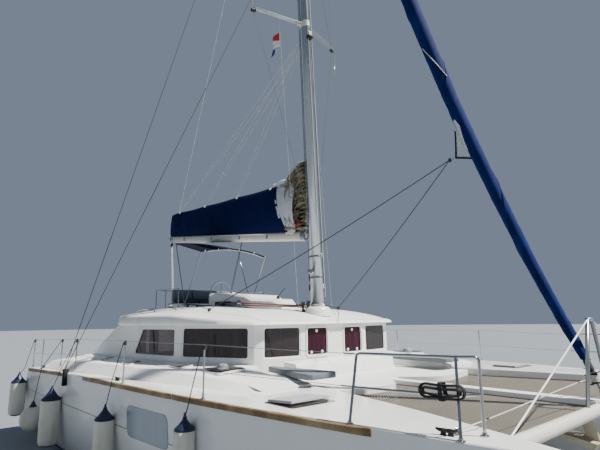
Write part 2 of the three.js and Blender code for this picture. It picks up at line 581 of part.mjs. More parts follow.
// height, radius, how far the roll's middle lies aft of the straight stay
const ROLL = [[2180, 62, 0], [2600, 78, 50], [4500, 105, 170], [6500, 130, 210], [9000, 155, 145],
  [11500, 140, 110], [15000, 90, 50], [17800, 38, 15]];
const rollShape = loft([...ROLL.map(([z, r, aft]) => oval(stayX(z) - aft, z, r, r, 14)),
  oval(stayX(HOUNDS), HOUNDS, 10, 10, 14)], [0, 1]);
const mastSolid = solid(boat.getObjectByName('mast').geometry);
const bare = r => rod([stayX(STAY.z - 60), 0, STAY.z - 60], [stayX(2200), 0, 2200], r, 12);
const drumAt = (z0, z1, r) => rod([stayX(z0), 0, z0], [stayX(z1), 0, z1], r, 20);
add('furled_headsail', shape(solid(rollShape).subtract(mastSolid.translate([GAP, 0, 0])).subtract(mastSolid)),
  'canvas');
const drumParts = [bare(14), drumAt(1880, 1900, 95), drumAt(1900, 2000, 55), drumAt(2000, 2020, 95),
  drumAt(2020, 2178, 45)];
const rollSpace = box(5000, 7000, -500, 500, ROLL[0][0] - GAP, 2600);
add('furling_drum', cut(join(drumParts), beamTube, rollSpace), 'black');

// Shrouds: a pair on each side from one chainplate to two heights on the mast
function shrouds(side) {
  const foot = [CHAINPLATE.x, side * 3905, CHAINPLATE.z];
  const hullHere = side > 0 ? hullPort : mirrored(hullPort);
  const cable = z => rod(foot, [mastX(z) - 30, side * (TANG + 8), z - 10], 7);
  const [low, high] = [3820, 3920].map(y => side * y).sort((a, b) => a - b);
  const plate = box(CHAINPLATE.x - 45, CHAINPLATE.x + 45, low, high, 1420, 1760);
  return cut(join([cable(HOUNDS), cable(LOWERS), plate]), hullHere).translate(0, side * GAP, 0);
}
add('shrouds_port', shrouds(1), 'black');
add('shrouds_starboard', shrouds(-1), 'black');

// Pulpits and lifelines
function seatedOnDeck(parts) {
  const raised = solid(trunkPort);
  return shape(parts.map(solid).reduce((a, b) => a.add(b)).subtract(solid(hullPort)).subtract(raised)
    .subtract(raised.translate([0, 0, -GAP])).translate([0, 0, GAP]));
}
const PULPIT_TOP = 2390;
const pulpitFeet = [[4640, 3425], [5740, 3222], [5790, 2900]];
const pulpitTops = [[4580, 3220], [5620, 3010], [5780, 2880]];
const pulpit = [];
pulpitFeet.forEach(([x, y], i) => {
  const top = [...pulpitTops[i], PULPIT_TOP];
  const middle = [0, 1].map(k => (pulpitFeet[i][k] + pulpitTops[i][k]) / 2);
  pulpit.push(rod([x, y, 1600], top, 15));
  if (i > 0) {
    const before = [0, 1].map(k => (pulpitFeet[i - 1][k] + pulpitTops[i - 1][k]) / 2);
    pulpit.push(rod([...pulpitTops[i - 1], PULPIT_TOP], top, 15));
    pulpit.push(rod([...before, 2060], [...middle, 2060], 12));
  }
});
addPair('pulpit', seatedOnDeck(pulpit), 'steel');

// A hank of rope tied along the outside of the starboard pulpit's middle rail: the rope's size and
// turns, the length of its straight runs, the radius of its folds, where its aft end lies on the
// rail, and the angle at which its fore end stands off round the post
const HANK = { rope: 20, turns: 4, run: 300, fold: 60, along: 753, z: 2100, out: 12.3, splay: 2.2 };
const railEnds = [0, 1].map(i => [0, 1].map(k => (pulpitFeet[i][k] + pulpitTops[i][k]) / 2));
const railAngle = Math.atan2(railEnds[0][1] - railEnds[1][1], railEnds[1][0] - railEnds[0][0]);
const hankOutline = Array.from({ length: 26 }, (_, i) => {
  const [end, k] = [i < 13 ? 1 : -1, i % 13];
  const [a, r] = [Math.PI * (k / 12 - 0.5), HANK.fold + HANK.rope / 2];
  return [HANK.run / 2 + HANK.fold + end * (HANK.run / 2 + r * Math.cos(a)), end * r * Math.sin(a)];
});
add('bow_rope', sidePrism(hankOutline, -HANK.turns * HANK.rope, 0)
  .rotateZ(-THREE.MathUtils.degToRad(HANK.splay)).translate(HANK.along, -HANK.out, 0)
  .rotateZ(railAngle).translate(railEnds[0][0], -railEnds[0][1], HANK.z), 'blackRope');

// x and the distance in from the deck's edge; the gate by the shrouds stands further in
const STANCHIONS = [[2320, 20], [-130, 30], [-3380, 260], [-4450, 260], [-5300, 60], [-6100, 60]];
const WIRES = [[690, 0], [350, 1]];
const foot = ([x, inset]) => [x, sheerHalf(x) - inset];
const lifelines = [];
STANCHIONS.forEach((stanchion, i) => {
  const [x, y] = foot(stanchion);
  const z = deckZ(x);
  lifelines.push(rod([x, y, z - 50], [x, y, z + 700], 13));
  for (const [rise, row] of WIRES) {
    const end = [[4555, 3222, 2385], [4582, 3306, 2060]][row];
    const before = i > 0 ? foot(STANCHIONS[i - 1]) : end;
    const from = [before[0], before[1], i > 0 ? deckZ(before[0]) + rise : end[2]];
    lifelines.push(rod(from, [x, y, z + rise], 4, 6));
  }
});
addPair('lifelines', seatedOnDeck(lifelines), 'steel');

// Rubbing strakes along the outer edge of each deck
const STRAKE = { aft: -2040, fore: 4900, drop: 6, depth: 78, out: 32 };
function strake() {
  const inside = HULL.map(s => s[0]).filter(x => x > STRAKE.aft && x < STRAKE.fore);
  return loft([STRAKE.aft, ...inside, STRAKE.fore].map(x => {
    const [y, z] = [sheerHalf(x) + GAP, deckZ(x) - STRAKE.drop];
    return [[x, y, z - STRAKE.depth], [x, y + STRAKE.out, z - STRAKE.depth + 10], [x, y + STRAKE.out, z - 15],
      [x, y, z]];
  }));
}
addPair('strake', strake(), 'strake');

// Below the water: drive legs, propellers and rudders
const hullSolid = solid(hullPort);
const hung = geometry => shape(solid(geometry).subtract(hullSolid).translate([0, 0, -GAP]));
const driveLeg = join([
  loft([foil(DRIVE.x + 110, DRIVE.x - 130, 45, -200),
    foil(DRIVE.x + 90, DRIVE.x - 110, 40, DRIVE.shaft)], [0, 1]),
  rod([DRIVE.x + 150, HULL_AXIS, DRIVE.shaft], [DRIVE.x - 190, HULL_AXIS, DRIVE.shaft], DRIVE.r, 16),
]);
addPair('drive_leg', hung(driveLeg), 'galvanised');

function propeller() {
  const hubX = DRIVE.x - 190 - 0.6;
  const axis = DRIVE.shaft - GAP;
  const parts = [rod([hubX, HULL_AXIS, axis], [hubX - 120, HULL_AXIS, axis], 48, 16)];
  for (let i = 0; i < 3; i++) {
    const blade = new THREE.CylinderGeometry(78, 78, 12, 12).scale(1, 1, 1.25);
    blade.rotateZ(Math.PI / 2).rotateZ(0.5).translate(0, 0, 30 + 0.5 * DRIVE.prop);
    blade.rotateX(2 * Math.PI * i / 3).translate(hubX - 60, HULL_AXIS, axis);
    parts.push(blade);
  }
  return join(parts);
}
addPair('propeller', propeller(), 'bronze');
addPair('rudder', join([
  loft([foil(RUDDER.x + RUDDER.chordFore, RUDDER.x - RUDDER.chordAft, 42, RUDDER.top - 40),
    foil(RUDDER.x + RUDDER.chordFore - 40, RUDDER.x - RUDDER.chordAft + 60, 30, RUDDER.tip)], [0, 1]),
  rod([RUDDER.x, HULL_AXIS, RUDDER.top - 200], [RUDDER.x, HULL_AXIS, -120], RUDDER.stock, 24),
]), 'antifoul');

// Deck hatches in the bows, hinged along their aft edge: the starboard one is ajar
const BOW_HATCH = { aft: 3140, fore: 3600, inner: 2650, outer: 3300, thick: 34, ajar: 4 };
const hatchZ = x => deckZ(x) + 0.8;
const hatch = loft([BOW_HATCH.aft, BOW_HATCH.fore].map(x => [
  [x, BOW_HATCH.inner, hatchZ(x)], [x, BOW_HATCH.outer, hatchZ(x)],
  [x, BOW_HATCH.outer - 15, hatchZ(x) + BOW_HATCH.thick],
  [x, BOW_HATCH.inner + 15, hatchZ(x) + BOW_HATCH.thick],
]));
add('bow_hatch_port', hatch, 'gelcoatGrey');
const hinge = [BOW_HATCH.aft, 0, hatchZ(BOW_HATCH.aft) + BOW_HATCH.thick];
add('bow_hatch_starboard', mirrored(hatch).translate(...hinge.map(v => -v))
  .rotateY(-THREE.MathUtils.degToRad(BOW_HATCH.ajar)).translate(...hinge), 'gelcoatGrey');

// Fenders along the starboard side, pressed a little against it: x, middle height, radius,
// half-length of the straight part
const FENDERS = [[-6480, 900, 185, 340], [-4920, 560, 265, 60], [-3460, 760, 200, 390],
  [-450, 760, 165, 400], [2100, 950, 140, 420]];
const PRESSED = 14;
const roundEnd = (r, middle, from) => [1, 2, 3, 4, 5].map(k => {
  const a = from + Math.PI * k / 12;
  return new THREE.Vector2(r * Math.cos(a), middle + r * Math.sin(a));
});
function fender([x, z, r, half]) {
  const top = half + 1;
  const profile = [new THREE.Vector2(0, -half - r), ...roundEnd(r, -half, -Math.PI / 2),
    new THREE.Vector2(r, -half), new THREE.Vector2(r, top), ...roundEnd(r, top, 0),
    new THREE.Vector2(0, top + r)];
  const side = hullSide(x, z + half);
  const body = new THREE.LatheGeometry(profile, 16).rotateX(Math.PI / 2).translate(x, side + r - PRESSED, z);
  return mirrored(cut(body, hullPort).translate(0, GAP, 0));
}
FENDERS.forEach((row, i) => add(`fender_${i + 1}`, fender(row), 'fender'));

export default boat;
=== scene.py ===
# A cruising sailing catamaran, dressed for a studio picture. Metres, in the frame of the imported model:
# +X to the bows, +Y to port, +Z up, with the origin amidships on the waterline.
import random
from math import atan2, copysign, cos, pi, radians, sin, tan, tau

import bmesh
import bpy
import numpy as np
from mathutils import Matrix, Vector
from mathutils.bvhtree import BVHTree


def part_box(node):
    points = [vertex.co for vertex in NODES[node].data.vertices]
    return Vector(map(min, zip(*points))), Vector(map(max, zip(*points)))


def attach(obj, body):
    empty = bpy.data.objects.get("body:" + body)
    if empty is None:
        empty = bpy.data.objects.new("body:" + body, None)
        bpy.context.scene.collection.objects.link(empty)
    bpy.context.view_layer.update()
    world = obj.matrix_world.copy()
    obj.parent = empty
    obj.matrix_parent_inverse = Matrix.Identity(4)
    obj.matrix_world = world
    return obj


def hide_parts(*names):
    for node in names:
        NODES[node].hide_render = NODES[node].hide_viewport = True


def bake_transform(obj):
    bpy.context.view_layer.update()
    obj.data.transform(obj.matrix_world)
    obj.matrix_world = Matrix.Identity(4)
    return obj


bl_info = {
    "name": "Sailing catamaran",
    "version": (1, 0, 0),
    "blender": (4, 5, 0),
    "location": "3D View > Sidebar > Catamaran",
    "description": "Builds the finish, rig, deck gear and soft goods of a cruising sailing catamaran",
    "category": "Object",
}

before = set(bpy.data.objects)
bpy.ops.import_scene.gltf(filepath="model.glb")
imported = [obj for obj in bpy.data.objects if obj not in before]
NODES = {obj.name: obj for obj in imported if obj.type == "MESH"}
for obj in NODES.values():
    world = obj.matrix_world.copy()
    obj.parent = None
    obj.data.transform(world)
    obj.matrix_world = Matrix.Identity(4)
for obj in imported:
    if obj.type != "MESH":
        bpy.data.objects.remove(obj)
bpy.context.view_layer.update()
SIDES = {"port": 1, "starboard": -1}


# Values that the pieces share: boxes of the frame's nodes, and the lines of the boom, mast and forestay
WHEEL_LOW, WHEEL_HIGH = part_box("steering_wheel")
WHEEL_R = (WHEEL_HIGH.z - WHEEL_LOW.z) / 2
WHEEL_AT = (WHEEL_LOW + WHEEL_HIGH) / 2
SEAT_LOW, SEAT_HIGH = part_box("forward_seat_port")
GOOSENECK = Vector((0.395, 0, 4.575))
BOOM_END = Vector((-6.165, 0, 5.347))
MAST_FOOT = Vector((0.671, 0, 3.0))
MAST_RAKE = 0.042
STAY_FOOT = Vector((5.9, 0, 1.75))
STAY_RAKE = 0.3296
HOUNDS_Z = 19.3
# The spreaders' heights, how far out their tips lie, and how far aft of the mast's middle
SPREADERS = {"z": (9.85, 14.6), "out": 1.32, "sweep": 0.34}


def mast_x(z):
    """The middle of the mast at a height."""
    return MAST_FOOT.x - MAST_RAKE * (z - 3.02)


def stay_x(z):
    """The forestay's line at a height."""
    return STAY_FOOT.x - STAY_RAKE * (z - STAY_FOOT.z)


def boom_z(x):
    """The middle of the boom at a distance aft."""
    share = (x - GOOSENECK.x) / (BOOM_END.x - GOOSENECK.x)
    return GOOSENECK.z + share * (BOOM_END.z - GOOSENECK.z)


# Curves and outlines
def turns(count):
    """Angles once round, evenly spaced."""
    return [tau * k / count for k in range(count)]


def shares(steps):
    """Evenly spaced shares from nothing to one."""
    return [k / steps for k in range(steps + 1)]


def curve(points, per=6, closed=False):
    """A smooth line through points, with so many steps between each two."""
    p = [Vector(q) for q in points]
    n = len(p)
    out = []
    for i in range(n if closed else n - 1):
        a, b, c, d = (p[(i + k) % n] if closed else p[min(max(i + k, 0), n - 1)] for k in (-1, 0, 1, 2))
        for k in range(per):
            t = k / per
            out.append(0.5 * ((2 * b) + (c - a) * t + (2 * a - 5 * b + 4 * c - d) * t ** 2
                              + (3 * b - a - 3 * c + d) * t ** 3))
    if not closed:
        out.append(p[-1])
    return out


def rounded(corners, radius, steps=5):
    """A flat outline with its corners rounded."""
    out = []
    count = len(corners)
    for i, corner in enumerate(corners):
        c = Vector(corner)
        a, b = Vector(corners[i - 1]) - c, Vector(corners[(i + 1) % count]) - c
        half = max(a.angle(b) / 2, 0.2)
        back = min(radius / tan(half), 0.48 * a.length, 0.48 * b.length)
        start, end = c + a.normalized() * back, c + b.normalized() * back
        for t in shares(steps):
            out.append((1 - t) ** 2 * start + 2 * t * (1 - t) * c + t ** 2 * end)
    return out


def shrunk(outline, by):
    """An outline drawn in towards its middle by a distance."""
    middle = sum(outline, Vector((0, 0))) / len(outline)
    return [p + (middle - p).normalized() * by for p in outline]


def rectangle(x0, x1, y0, y1):
    """The corners of a box on a plane, in turn."""
    return [(x0, y0), (x1, y0), (x1, y1), (x0, y1)]


# How near the axis a turned shape's end is drawn in
NEAR = 0.001


class Shape:
    """Points and faces gathered for one mesh, with how far along and around a tube each point lies."""

    def __init__(self):
        self.points = []
        self.faces = []
        self.lay = []

    def add(self, points, faces, lay=None):
        """Adds points, and faces that count from the first of them."""
        base = len(self.points)
        self.points += [tuple(p) for p in points]
        self.faces += [tuple(base + i for i in face) for face in faces]
        self.lay += lay or [(0.0, 0.0, 0.0)] * len(points)
        return self

    def loft(self, rings, around=True, caps=True, closed=False, lay=None):
        """Joins rows of points into a skin."""
        n = len(rings[0])
        points = [p for ring in rings for p in ring]
        faces = []
        for r in range(len(rings) if closed else len(rings) - 1):
            s = (r + 1) % len(rings)
            for i in range(n if around else n - 1):
                j = (i + 1) % n
                faces.append((r * n + i, r * n + j, s * n + j, s * n + i))
        if caps and around and not closed:
            faces.append(tuple(range(n - 1, -1, -1)))
            faces.append(tuple((len(rings) - 1) * n + i for i in range(n)))
        return self.add(points, faces, lay)

    def tube(self, path, radius, sides=8, closed=False):
        """A round tube along a path, with one radius or one for each point."""
        path = [Vector(p) for p in path]
        radii = radius if isinstance(radius, (list, tuple)) else [radius] * len(path)
        n = len(path)
        normal = None
        rings, lay, gone = [], [], 0.0
        for i, p in enumerate(path):
            before = path[i - 1] if i or closed else p
            after = path[(i + 1) % n] if i + 1 < n or closed else p
            along = (after - before).normalized()
            if normal is None:
                normal = along.orthogonal().normalized()
            normal = (normal - along * normal.dot(along)).normalized()
            side = along.cross(normal)
            gone += (p - path[i - 1]).length if i else 0.0
            rings.append([p + radii[i] * (cos(a) * normal + sin(a) * side) for a in turns(sides)])
            lay += [(gone, k / sides, radii[i]) for k in range(sides)]
        return self.loft(rings, closed=closed, lay=lay)

    def rod(self, a, b, radius, sides=10):
        """A straight round bar."""
        return self.tube([a, b], radius, sides)

    def lathe(self, profile, at, axis=(0, 0, 1), sides=24, open_ends=False):
        """Turns pairs of radius and distance along the axis, and closes the ends on the axis unless open."""
        turn = Vector((0, 0, 1)).rotation_difference(Vector(axis))
        rings = []
        if not open_ends:
            first, last = ([(NEAR, h)] if r > NEAR else [] for r, h in (profile[0], profile[-1]))
            profile = first + list(profile) + last
        for r, h in profile:
            rings.append([Vector(at) + turn @ Vector((r * cos(a), r * sin(a), h))
                          for a in turns(sides)])
        return self.loft(rings)

    def box(self, low, high):
        """A box between two corners."""
        rings = [[(x, low[1], low[2]), (x, high[1], low[2]), (x, high[1], high[2]), (x, low[1], high[2])]
                 for x in (low[0], high[0])]
        return self.loft(rings)

    def plate(self, outline, place, low, high):
        """A flat plate: place gives the point for two coordinates and a height above the surface."""
        return self.loft([[place(p[0], p[1], d) for p in outline] for d in (low, high)])

    def ring(self, outer, inner, place, low, high):
        """A flat frame between two outlines of equally many points."""
        loops = [(outer, low), (outer, high), (inner, high), (inner, low)]
        return self.loft([[place(p[0], p[1], d) for p in line] for line, d in loops], closed=True)

    def grid(self, rows):
        """An open sheet from rows of points."""
        return self.loft(rows, around=False, caps=False)


def piece(name, shape, material, body="boat", stands_for=(), bevel=0.0, angle=35, thick=0.0):
    """Makes one object of a shape, rides it on its body, gives it its finish and hides the nodes that it stands
    for.
    """
    mesh = bpy.data.meshes.new(name)
    mesh.from_pydata(shape.points, [], shape.faces)
    work = bmesh.new()
    work.from_mesh(mesh)
    bmesh.ops.recalc_face_normals(work, faces=work.faces)
    work.to_mesh(mesh)
    work.free()
    lay = mesh.attributes.new("lay", "FLOAT_VECTOR", "POINT")
    lay.data.foreach_set("vector", np.array(shape.lay, np.float32).ravel())
    mesh.shade_smooth()
    mesh.set_sharp_from_angle(angle=radians(angle))
    mesh.materials.append(paint(material))
    obj = bpy.data.objects.new(name, mesh)
    bpy.context.scene.collection.objects.link(obj)
    if thick:
        solid = obj.modifiers.new("Cloth thickness", "SOLIDIFY")
        solid.thickness = thick
        solid.offset = 0
    if bevel:
        add_bevel(obj, bevel)
    if body:
        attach(obj, body)
    if stands_for:
        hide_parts(*stands_for)
    return obj


def add_bevel(obj, width, segments=2, angle=30):
    """Rounds the edges that are sharper than an angle."""
    edge = obj.modifiers.new("Rounded edges", "BEVEL")
    edge.width = width
    edge.segments = segments
    edge.limit_method = "ANGLE"
    edge.angle_limit = radians(angle)
    edge.harden_normals = True


def dress(node, material, bevel=0.0, segments=2, angle=30):
    """Gives a node of the frame its material, and rounds its edges without changing its mesh."""
    obj = NODES[node]
    if "custom_normal" in obj.data.attributes:
        obj.data.attributes.remove(obj.data.attributes["custom_normal"])
    obj.data.shade_smooth()
    obj.data.materials.clear()
    obj.data.materials.append(paint(material))
    weld = obj.modifiers.new("Joined corners", "WELD")
    weld.merge_threshold = 0.0002
    flat = obj.modifiers.new("Flat faces", "DECIMATE")
    flat.decimate_type = "DISSOLVE"
    flat.angle_limit = radians(0.6)
    if bevel:
        add_bevel(obj, bevel, segments, angle)


# The faces of each node that a fitting was set on
TREES = {}


def tree_of(node):
    """A node's faces, ready to be looked for along a line."""
    if node not in TREES:
        mesh = NODES[node].data
        TREES[node] = BVHTree.FromPolygons([v.co for v in mesh.vertices], [p.vertices for p in mesh.polygons])
    return TREES[node]


def top(x, y, *nodes):
    """The height of the highest of these nodes at a place."""
    hits = [tree_of(n).ray_cast(Vector((x, y, 30)), Vector((0, 0, -1)))[0] for n in nodes]
    found = [h.z for h in hits if h]
    if not found:
        raise RuntimeError(f"nothing of {nodes} lies under {x:.2f}, {y:.2f}")
    return max(found)


def flank(x, z, node, side):
    """How far out a node's side is at a place."""
    hit = tree_of(node).ray_cast(Vector((x, side * 9, z)), Vector((0, -side, 0)))[0]
    if hit is None:
        raise RuntimeError(f"no side of {node} at {x:.2f}, {z:.2f}")
    return hit.y


# Shader nodes
def feed(tree, socket, value):
    """Links another node's output to a socket, or sets the socket's own value."""
    if isinstance(value, bpy.types.NodeSocket):
        tree.links.new(value, socket)
    else:
        socket.default_value = value


def put(tree, kind, output, *feeds, **settings):
    """Adds a node and returns one of its outputs. A setting that starts with a capital is a socket."""
    node = tree.nodes.new("ShaderNode" + kind)
    for name, value in settings.items():
        if name[0].islower():
            setattr(node, name, value)
    named = [(name.replace("_", " "), value) for name, value in settings.items() if name[0].isupper()]
    for key, value in [*enumerate(feeds), *named]:
        feed(tree, node.inputs[key], value)
    return node.outputs[output]


def maths(tree, operation, *feeds):
    """One sum on a material's values."""
    return put(tree, "Math", 0, *feeds, operation=operation)


def mixed(tree, share, first, second, **settings):
    """A blend of two colours."""
    return put(tree, "Mix", "Result", data_type="RGBA", Factor=share, A=first, B=second, **settings)


def bump(tree, shader, height, strength, depth):
    """Small relief on a surface, without changing its shape."""
    bent = put(tree, "Bump", "Normal", Strength=strength, Distance=depth, Height=height)
    feed(tree, shader.inputs["Normal"], bent)


def weathering(tree, given):
    """Soft blotches and streaks that run down, as masks of stain over a colour."""
    place = put(tree, "TexCoord", "Object")
    blotch = put(tree, "TexNoise", "Fac", Vector=place, Scale=given["Scale"], Detail=6)
    drawn = put(tree, "Mapping", "Vector", Vector=place, Scale=(4.0, 4.0, 0.35))
    streak = put(tree, "TexNoise", "Fac", Vector=drawn, Scale=given["Scale"], Detail=4)
    clipped = put(tree, "MapRange", "Result", Value=maths(tree, "MULTIPLY", blotch, streak),
                  From_Min=0.18, From_Max=0.42)
    share = maths(tree, "MULTIPLY", clipped, given["Amount"])
    gloss = put(tree, "MapRange", "Result", Value=blotch, To_Min=given["Gloss low"],
                To_Max=given["Gloss high"])
    return {"Colour": mixed(tree, share, given["Colour"], given["Stain"]), "Roughness": gloss}


def fine_grain(tree, given):
    """Small bumps of two sizes."""
    place = put(tree, "TexCoord", "Object")
    return {"Height": put(tree, "TexNoise", "Fac", Vector=place, Scale=given["Scale"], Detail=5,
                          Roughness=0.7)}


def weave(tree, given):
    """Crossed threads, for cloth and nonskid patterns."""
    place = put(tree, "TexCoord", "Object")
    threads = [put(tree, "TexWave", "Fac", Vector=place, Scale=given["Scale"], Distortion=0.4,
                   wave_type="BANDS", bands_direction=axis) for axis in "XZ"]
    return {"Height": maths(tree, "MAXIMUM", *threads)}


def rope_lay(tree, given):
    """Strands that wind along a tube, from how far along and around it each point lies."""
    lay = put(tree, "Attribute", "Vector", attribute_name="lay")
    gone = put(tree, "SeparateXYZ", "X", lay)
    along = maths(tree, "MULTIPLY", gone, given["Pitch"])
    around = maths(tree, "MULTIPLY", gone.node.outputs["Y"], given["Strands"])
    turn = maths(tree, "MULTIPLY", maths(tree, "ADD", along, around), tau)
    return {"Height": put(tree, "MapRange", "Result", Value=maths(tree, "SINE", turn), From_Min=-1),
            "Fleck": put(tree, "TexNoise", "Fac", Vector=lay, Scale=60)}


def knotted_net(tree, given):
    """Crossed strands at a slant to the boat, as a mask that is one on a strand."""
    slanted = put(tree, "Mapping", "Vector", Vector=put(tree, "TexCoord", "Object"),
                  Rotation=(0, 0, radians(45)))
    ways = put(tree, "SeparateXYZ", "X", slanted).node.outputs
    strands = []
    for axis in "XY":
        cell = maths(tree, "FRACT", maths(tree, "MULTIPLY", ways[axis], given["Mesh"]))
        strands.append(maths(tree, "LESS_THAN", cell, given["Strand"]))
    return {"Mask": maths(tree, "MAXIMUM", *strands)}


# Each pattern's function, and the inputs of its node group
PATTERNS = {
    "Weathering": (weathering, {"Colour": (0.8, 0.8, 0.8, 1), "Stain": (0.6, 0.55, 0.45, 1), "Amount": 0.3,
                                "Scale": 1.5, "Gloss low": 0.2, "Gloss high": 0.4}),
    "Fine grain": (fine_grain, {"Scale": 200.0}),
    "Weave": (weave, {"Scale": 300.0}),
    "Rope lay": (rope_lay, {"Pitch": 30.0, "Strands": 3.0}),
    "Knotted net": (knotted_net, {"Mesh": 22.0, "Strand": 0.3}),
}


def pattern(tree, name, output, **values):
    """Places a pattern's node group in a material, with its own values."""
    if name not in bpy.data.node_groups:
        build, wanted = PATTERNS[name]
        group = bpy.data.node_groups.new(name, "ShaderNodeTree")
        entry, leave = (group.nodes.new(kind) for kind in ("NodeGroupInput", "NodeGroupOutput"))

        def socket(key, way, coloured):
            kind = "NodeSocketColor" if coloured else "NodeSocketFloat"
            return group.interface.new_socket(key, in_out=way, socket_type=kind)
        for key, default in wanted.items():
            socket(key, "INPUT", isinstance(default, tuple)).default_value = default
        for key, made in build(group, entry.outputs).items():
            socket(key, "OUTPUT", key == "Colour")
            group.links.new(made, leave.inputs[key])
    return put(tree, "Group", output, node_tree=bpy.data.node_groups[name], **values)


# Finishes
def colour(name):
    """One of the user's colours."""
    return tuple(getattr(bpy.context.scene.yacht_colours, name))


def blank(name, settings):
    """A new material with values on its shader's own sockets."""
    mat = bpy.data.materials.new(name)
    mat.use_nodes = True
    shader = mat.node_tree.nodes["Principled BSDF"]
    for key, value in settings.items():
        shader.inputs[key.replace("_", " ")].default_value = value
    return mat, mat.node_tree, shader


def finish(name, hue, rough=0.4, metal=0.0, stain=None, amount=0.3, scale=1.5, spread=0.12, relief=None,
           then=None, **plain):
    """A weathered surface: its colour or the name of a user's colour, its gloss, what soils it, its relief
    (a pattern, the pattern's values, strength and depth) and a function that adds the rest."""
    mat, tree, shader = blank(name, {"Metallic": metal, **plain})
    hue = colour(hue) if isinstance(hue, str) else hue
    stain = stain or [0.72 * c for c in hue]
    worn = pattern(tree, "Weathering", "Colour", Colour=(*hue, 1), Stain=(*stain, 1), Amount=amount,
                   Scale=scale, Gloss_low=max(rough - spread, 0.02), Gloss_high=min(rough + spread, 1))
    feed(tree, shader.inputs["Base Color"], worn)
    feed(tree, shader.inputs["Roughness"], worn.node.outputs["Roughness"])
    if relief:
        kind, values, strength, depth = relief
        bump(tree, shader, pattern(tree, kind, "Height", **values), strength, depth)
    if then:
        then(tree, shader, worn)
    return mat


def woven(name, hue, rough=0.85, threads=420, amount=0.4, stain=None):
    """Cloth, with so many threads to the metre in its relief."""
    return finish(name, hue, rough, amount=amount, scale=2.5, spread=0.08, stain=stain,
                  relief=("Weave", {"Scale": threads}, 0.3, 0.001), Specular_IOR_Level=0.1)


def rope(name, hue, fleck, share=0.5):
    """Braided rope with flecks of a second colour."""
    def flecked(tree, shader, worn):
        lay = pattern(tree, "Rope lay", "Height", Pitch=60, Strands=8)
        amount = put(tree, "MapRange", "Result", Value=lay.node.outputs["Fleck"], From_Min=0.5,
                     From_Max=0.75, To_Max=share)
        feed(tree, shader.inputs["Base Color"], mixed(tree, amount, worn, (*fleck, 1)))
        bump(tree, shader, lay, 0.6, 0.003)
    return finish(name, hue, 0.8, scale=5, then=flecked)


def acrylic(name, hue):
    """Dark acrylic that lets the curtains show through."""
    mat, tree, shader = blank(name, {"Base Color": (*colour(hue), 1), "Roughness": 0.04, "IOR": 1.45,
                                     "Transmission Weight": 0.85})
    bump(tree, shader, put(tree, "TexNoise", "Fac", Scale=2.0), 0.02, 0.01)
    return mat


# Heights above the water where the paint ends and where the hulls are clean
PAINT_EDGE, CLEAN = 0.07, 0.32


def waterline(tree, shader, worn):
    """A thin soiled band at the waterline, and dark paint below it."""
    z = put(tree, "SeparateXYZ", "Z", put(tree, "TexCoord", "Object"))
    grime = put(tree, "MapRange", "Result", Value=z, From_Min=PAINT_EDGE, From_Max=CLEAN, To_Min=0.55, To_Max=0)
    soiled = mixed(tree, grime, worn, (0.55, 0.5, 0.36, 1))
    painted = mixed(tree, maths(tree, "LESS_THAN", z, PAINT_EDGE), soiled, (*colour("antifoul"), 1))
    feed(tree, shader.inputs["Base Color"], painted)


def wood_grain(tree, shader, worn):
    """Grain along the strakes."""
    along = put(tree, "Mapping", "Vector", Vector=put(tree, "TexCoord", "Object"), Scale=(1.2, 40, 40))
    grain = put(tree, "TexNoise", "Fac", Vector=along, Scale=3, Detail=8)
    dark = mixed(tree, 0.55, worn, grain.node.outputs["Color"], blend_type="MULTIPLY")
    feed(tree, shader.inputs["Base Color"], dark)
    bump(tree, shader, grain, 0.3, 0.002)


def open_mesh(tree, shader, worn):
    """Opens what lies between the strands of a net."""
    feed(tree, shader.inputs["Alpha"], pattern(tree, "Knotted net", "Mask", Mesh=25, Strand=0.5))


def flag_bands(tree, shader, worn):
    """Plain bands across the flag, by height."""
    z = put(tree, "SeparateXYZ", "Z", put(tree, "TexCoord", "Generated"))
    for edge, band in ((0.66, (0.7, 0.7, 0.68, 1)), (0.36, (0.03, 0.05, 0.2, 1))):
        worn = mixed(tree, maths(tree, "LESS_THAN", z, edge), worn, band)
    feed(tree, shader.inputs["Base Color"], worn)


NONSKID = ("Weave", {"Scale": 55}, 0.35, 0.002)
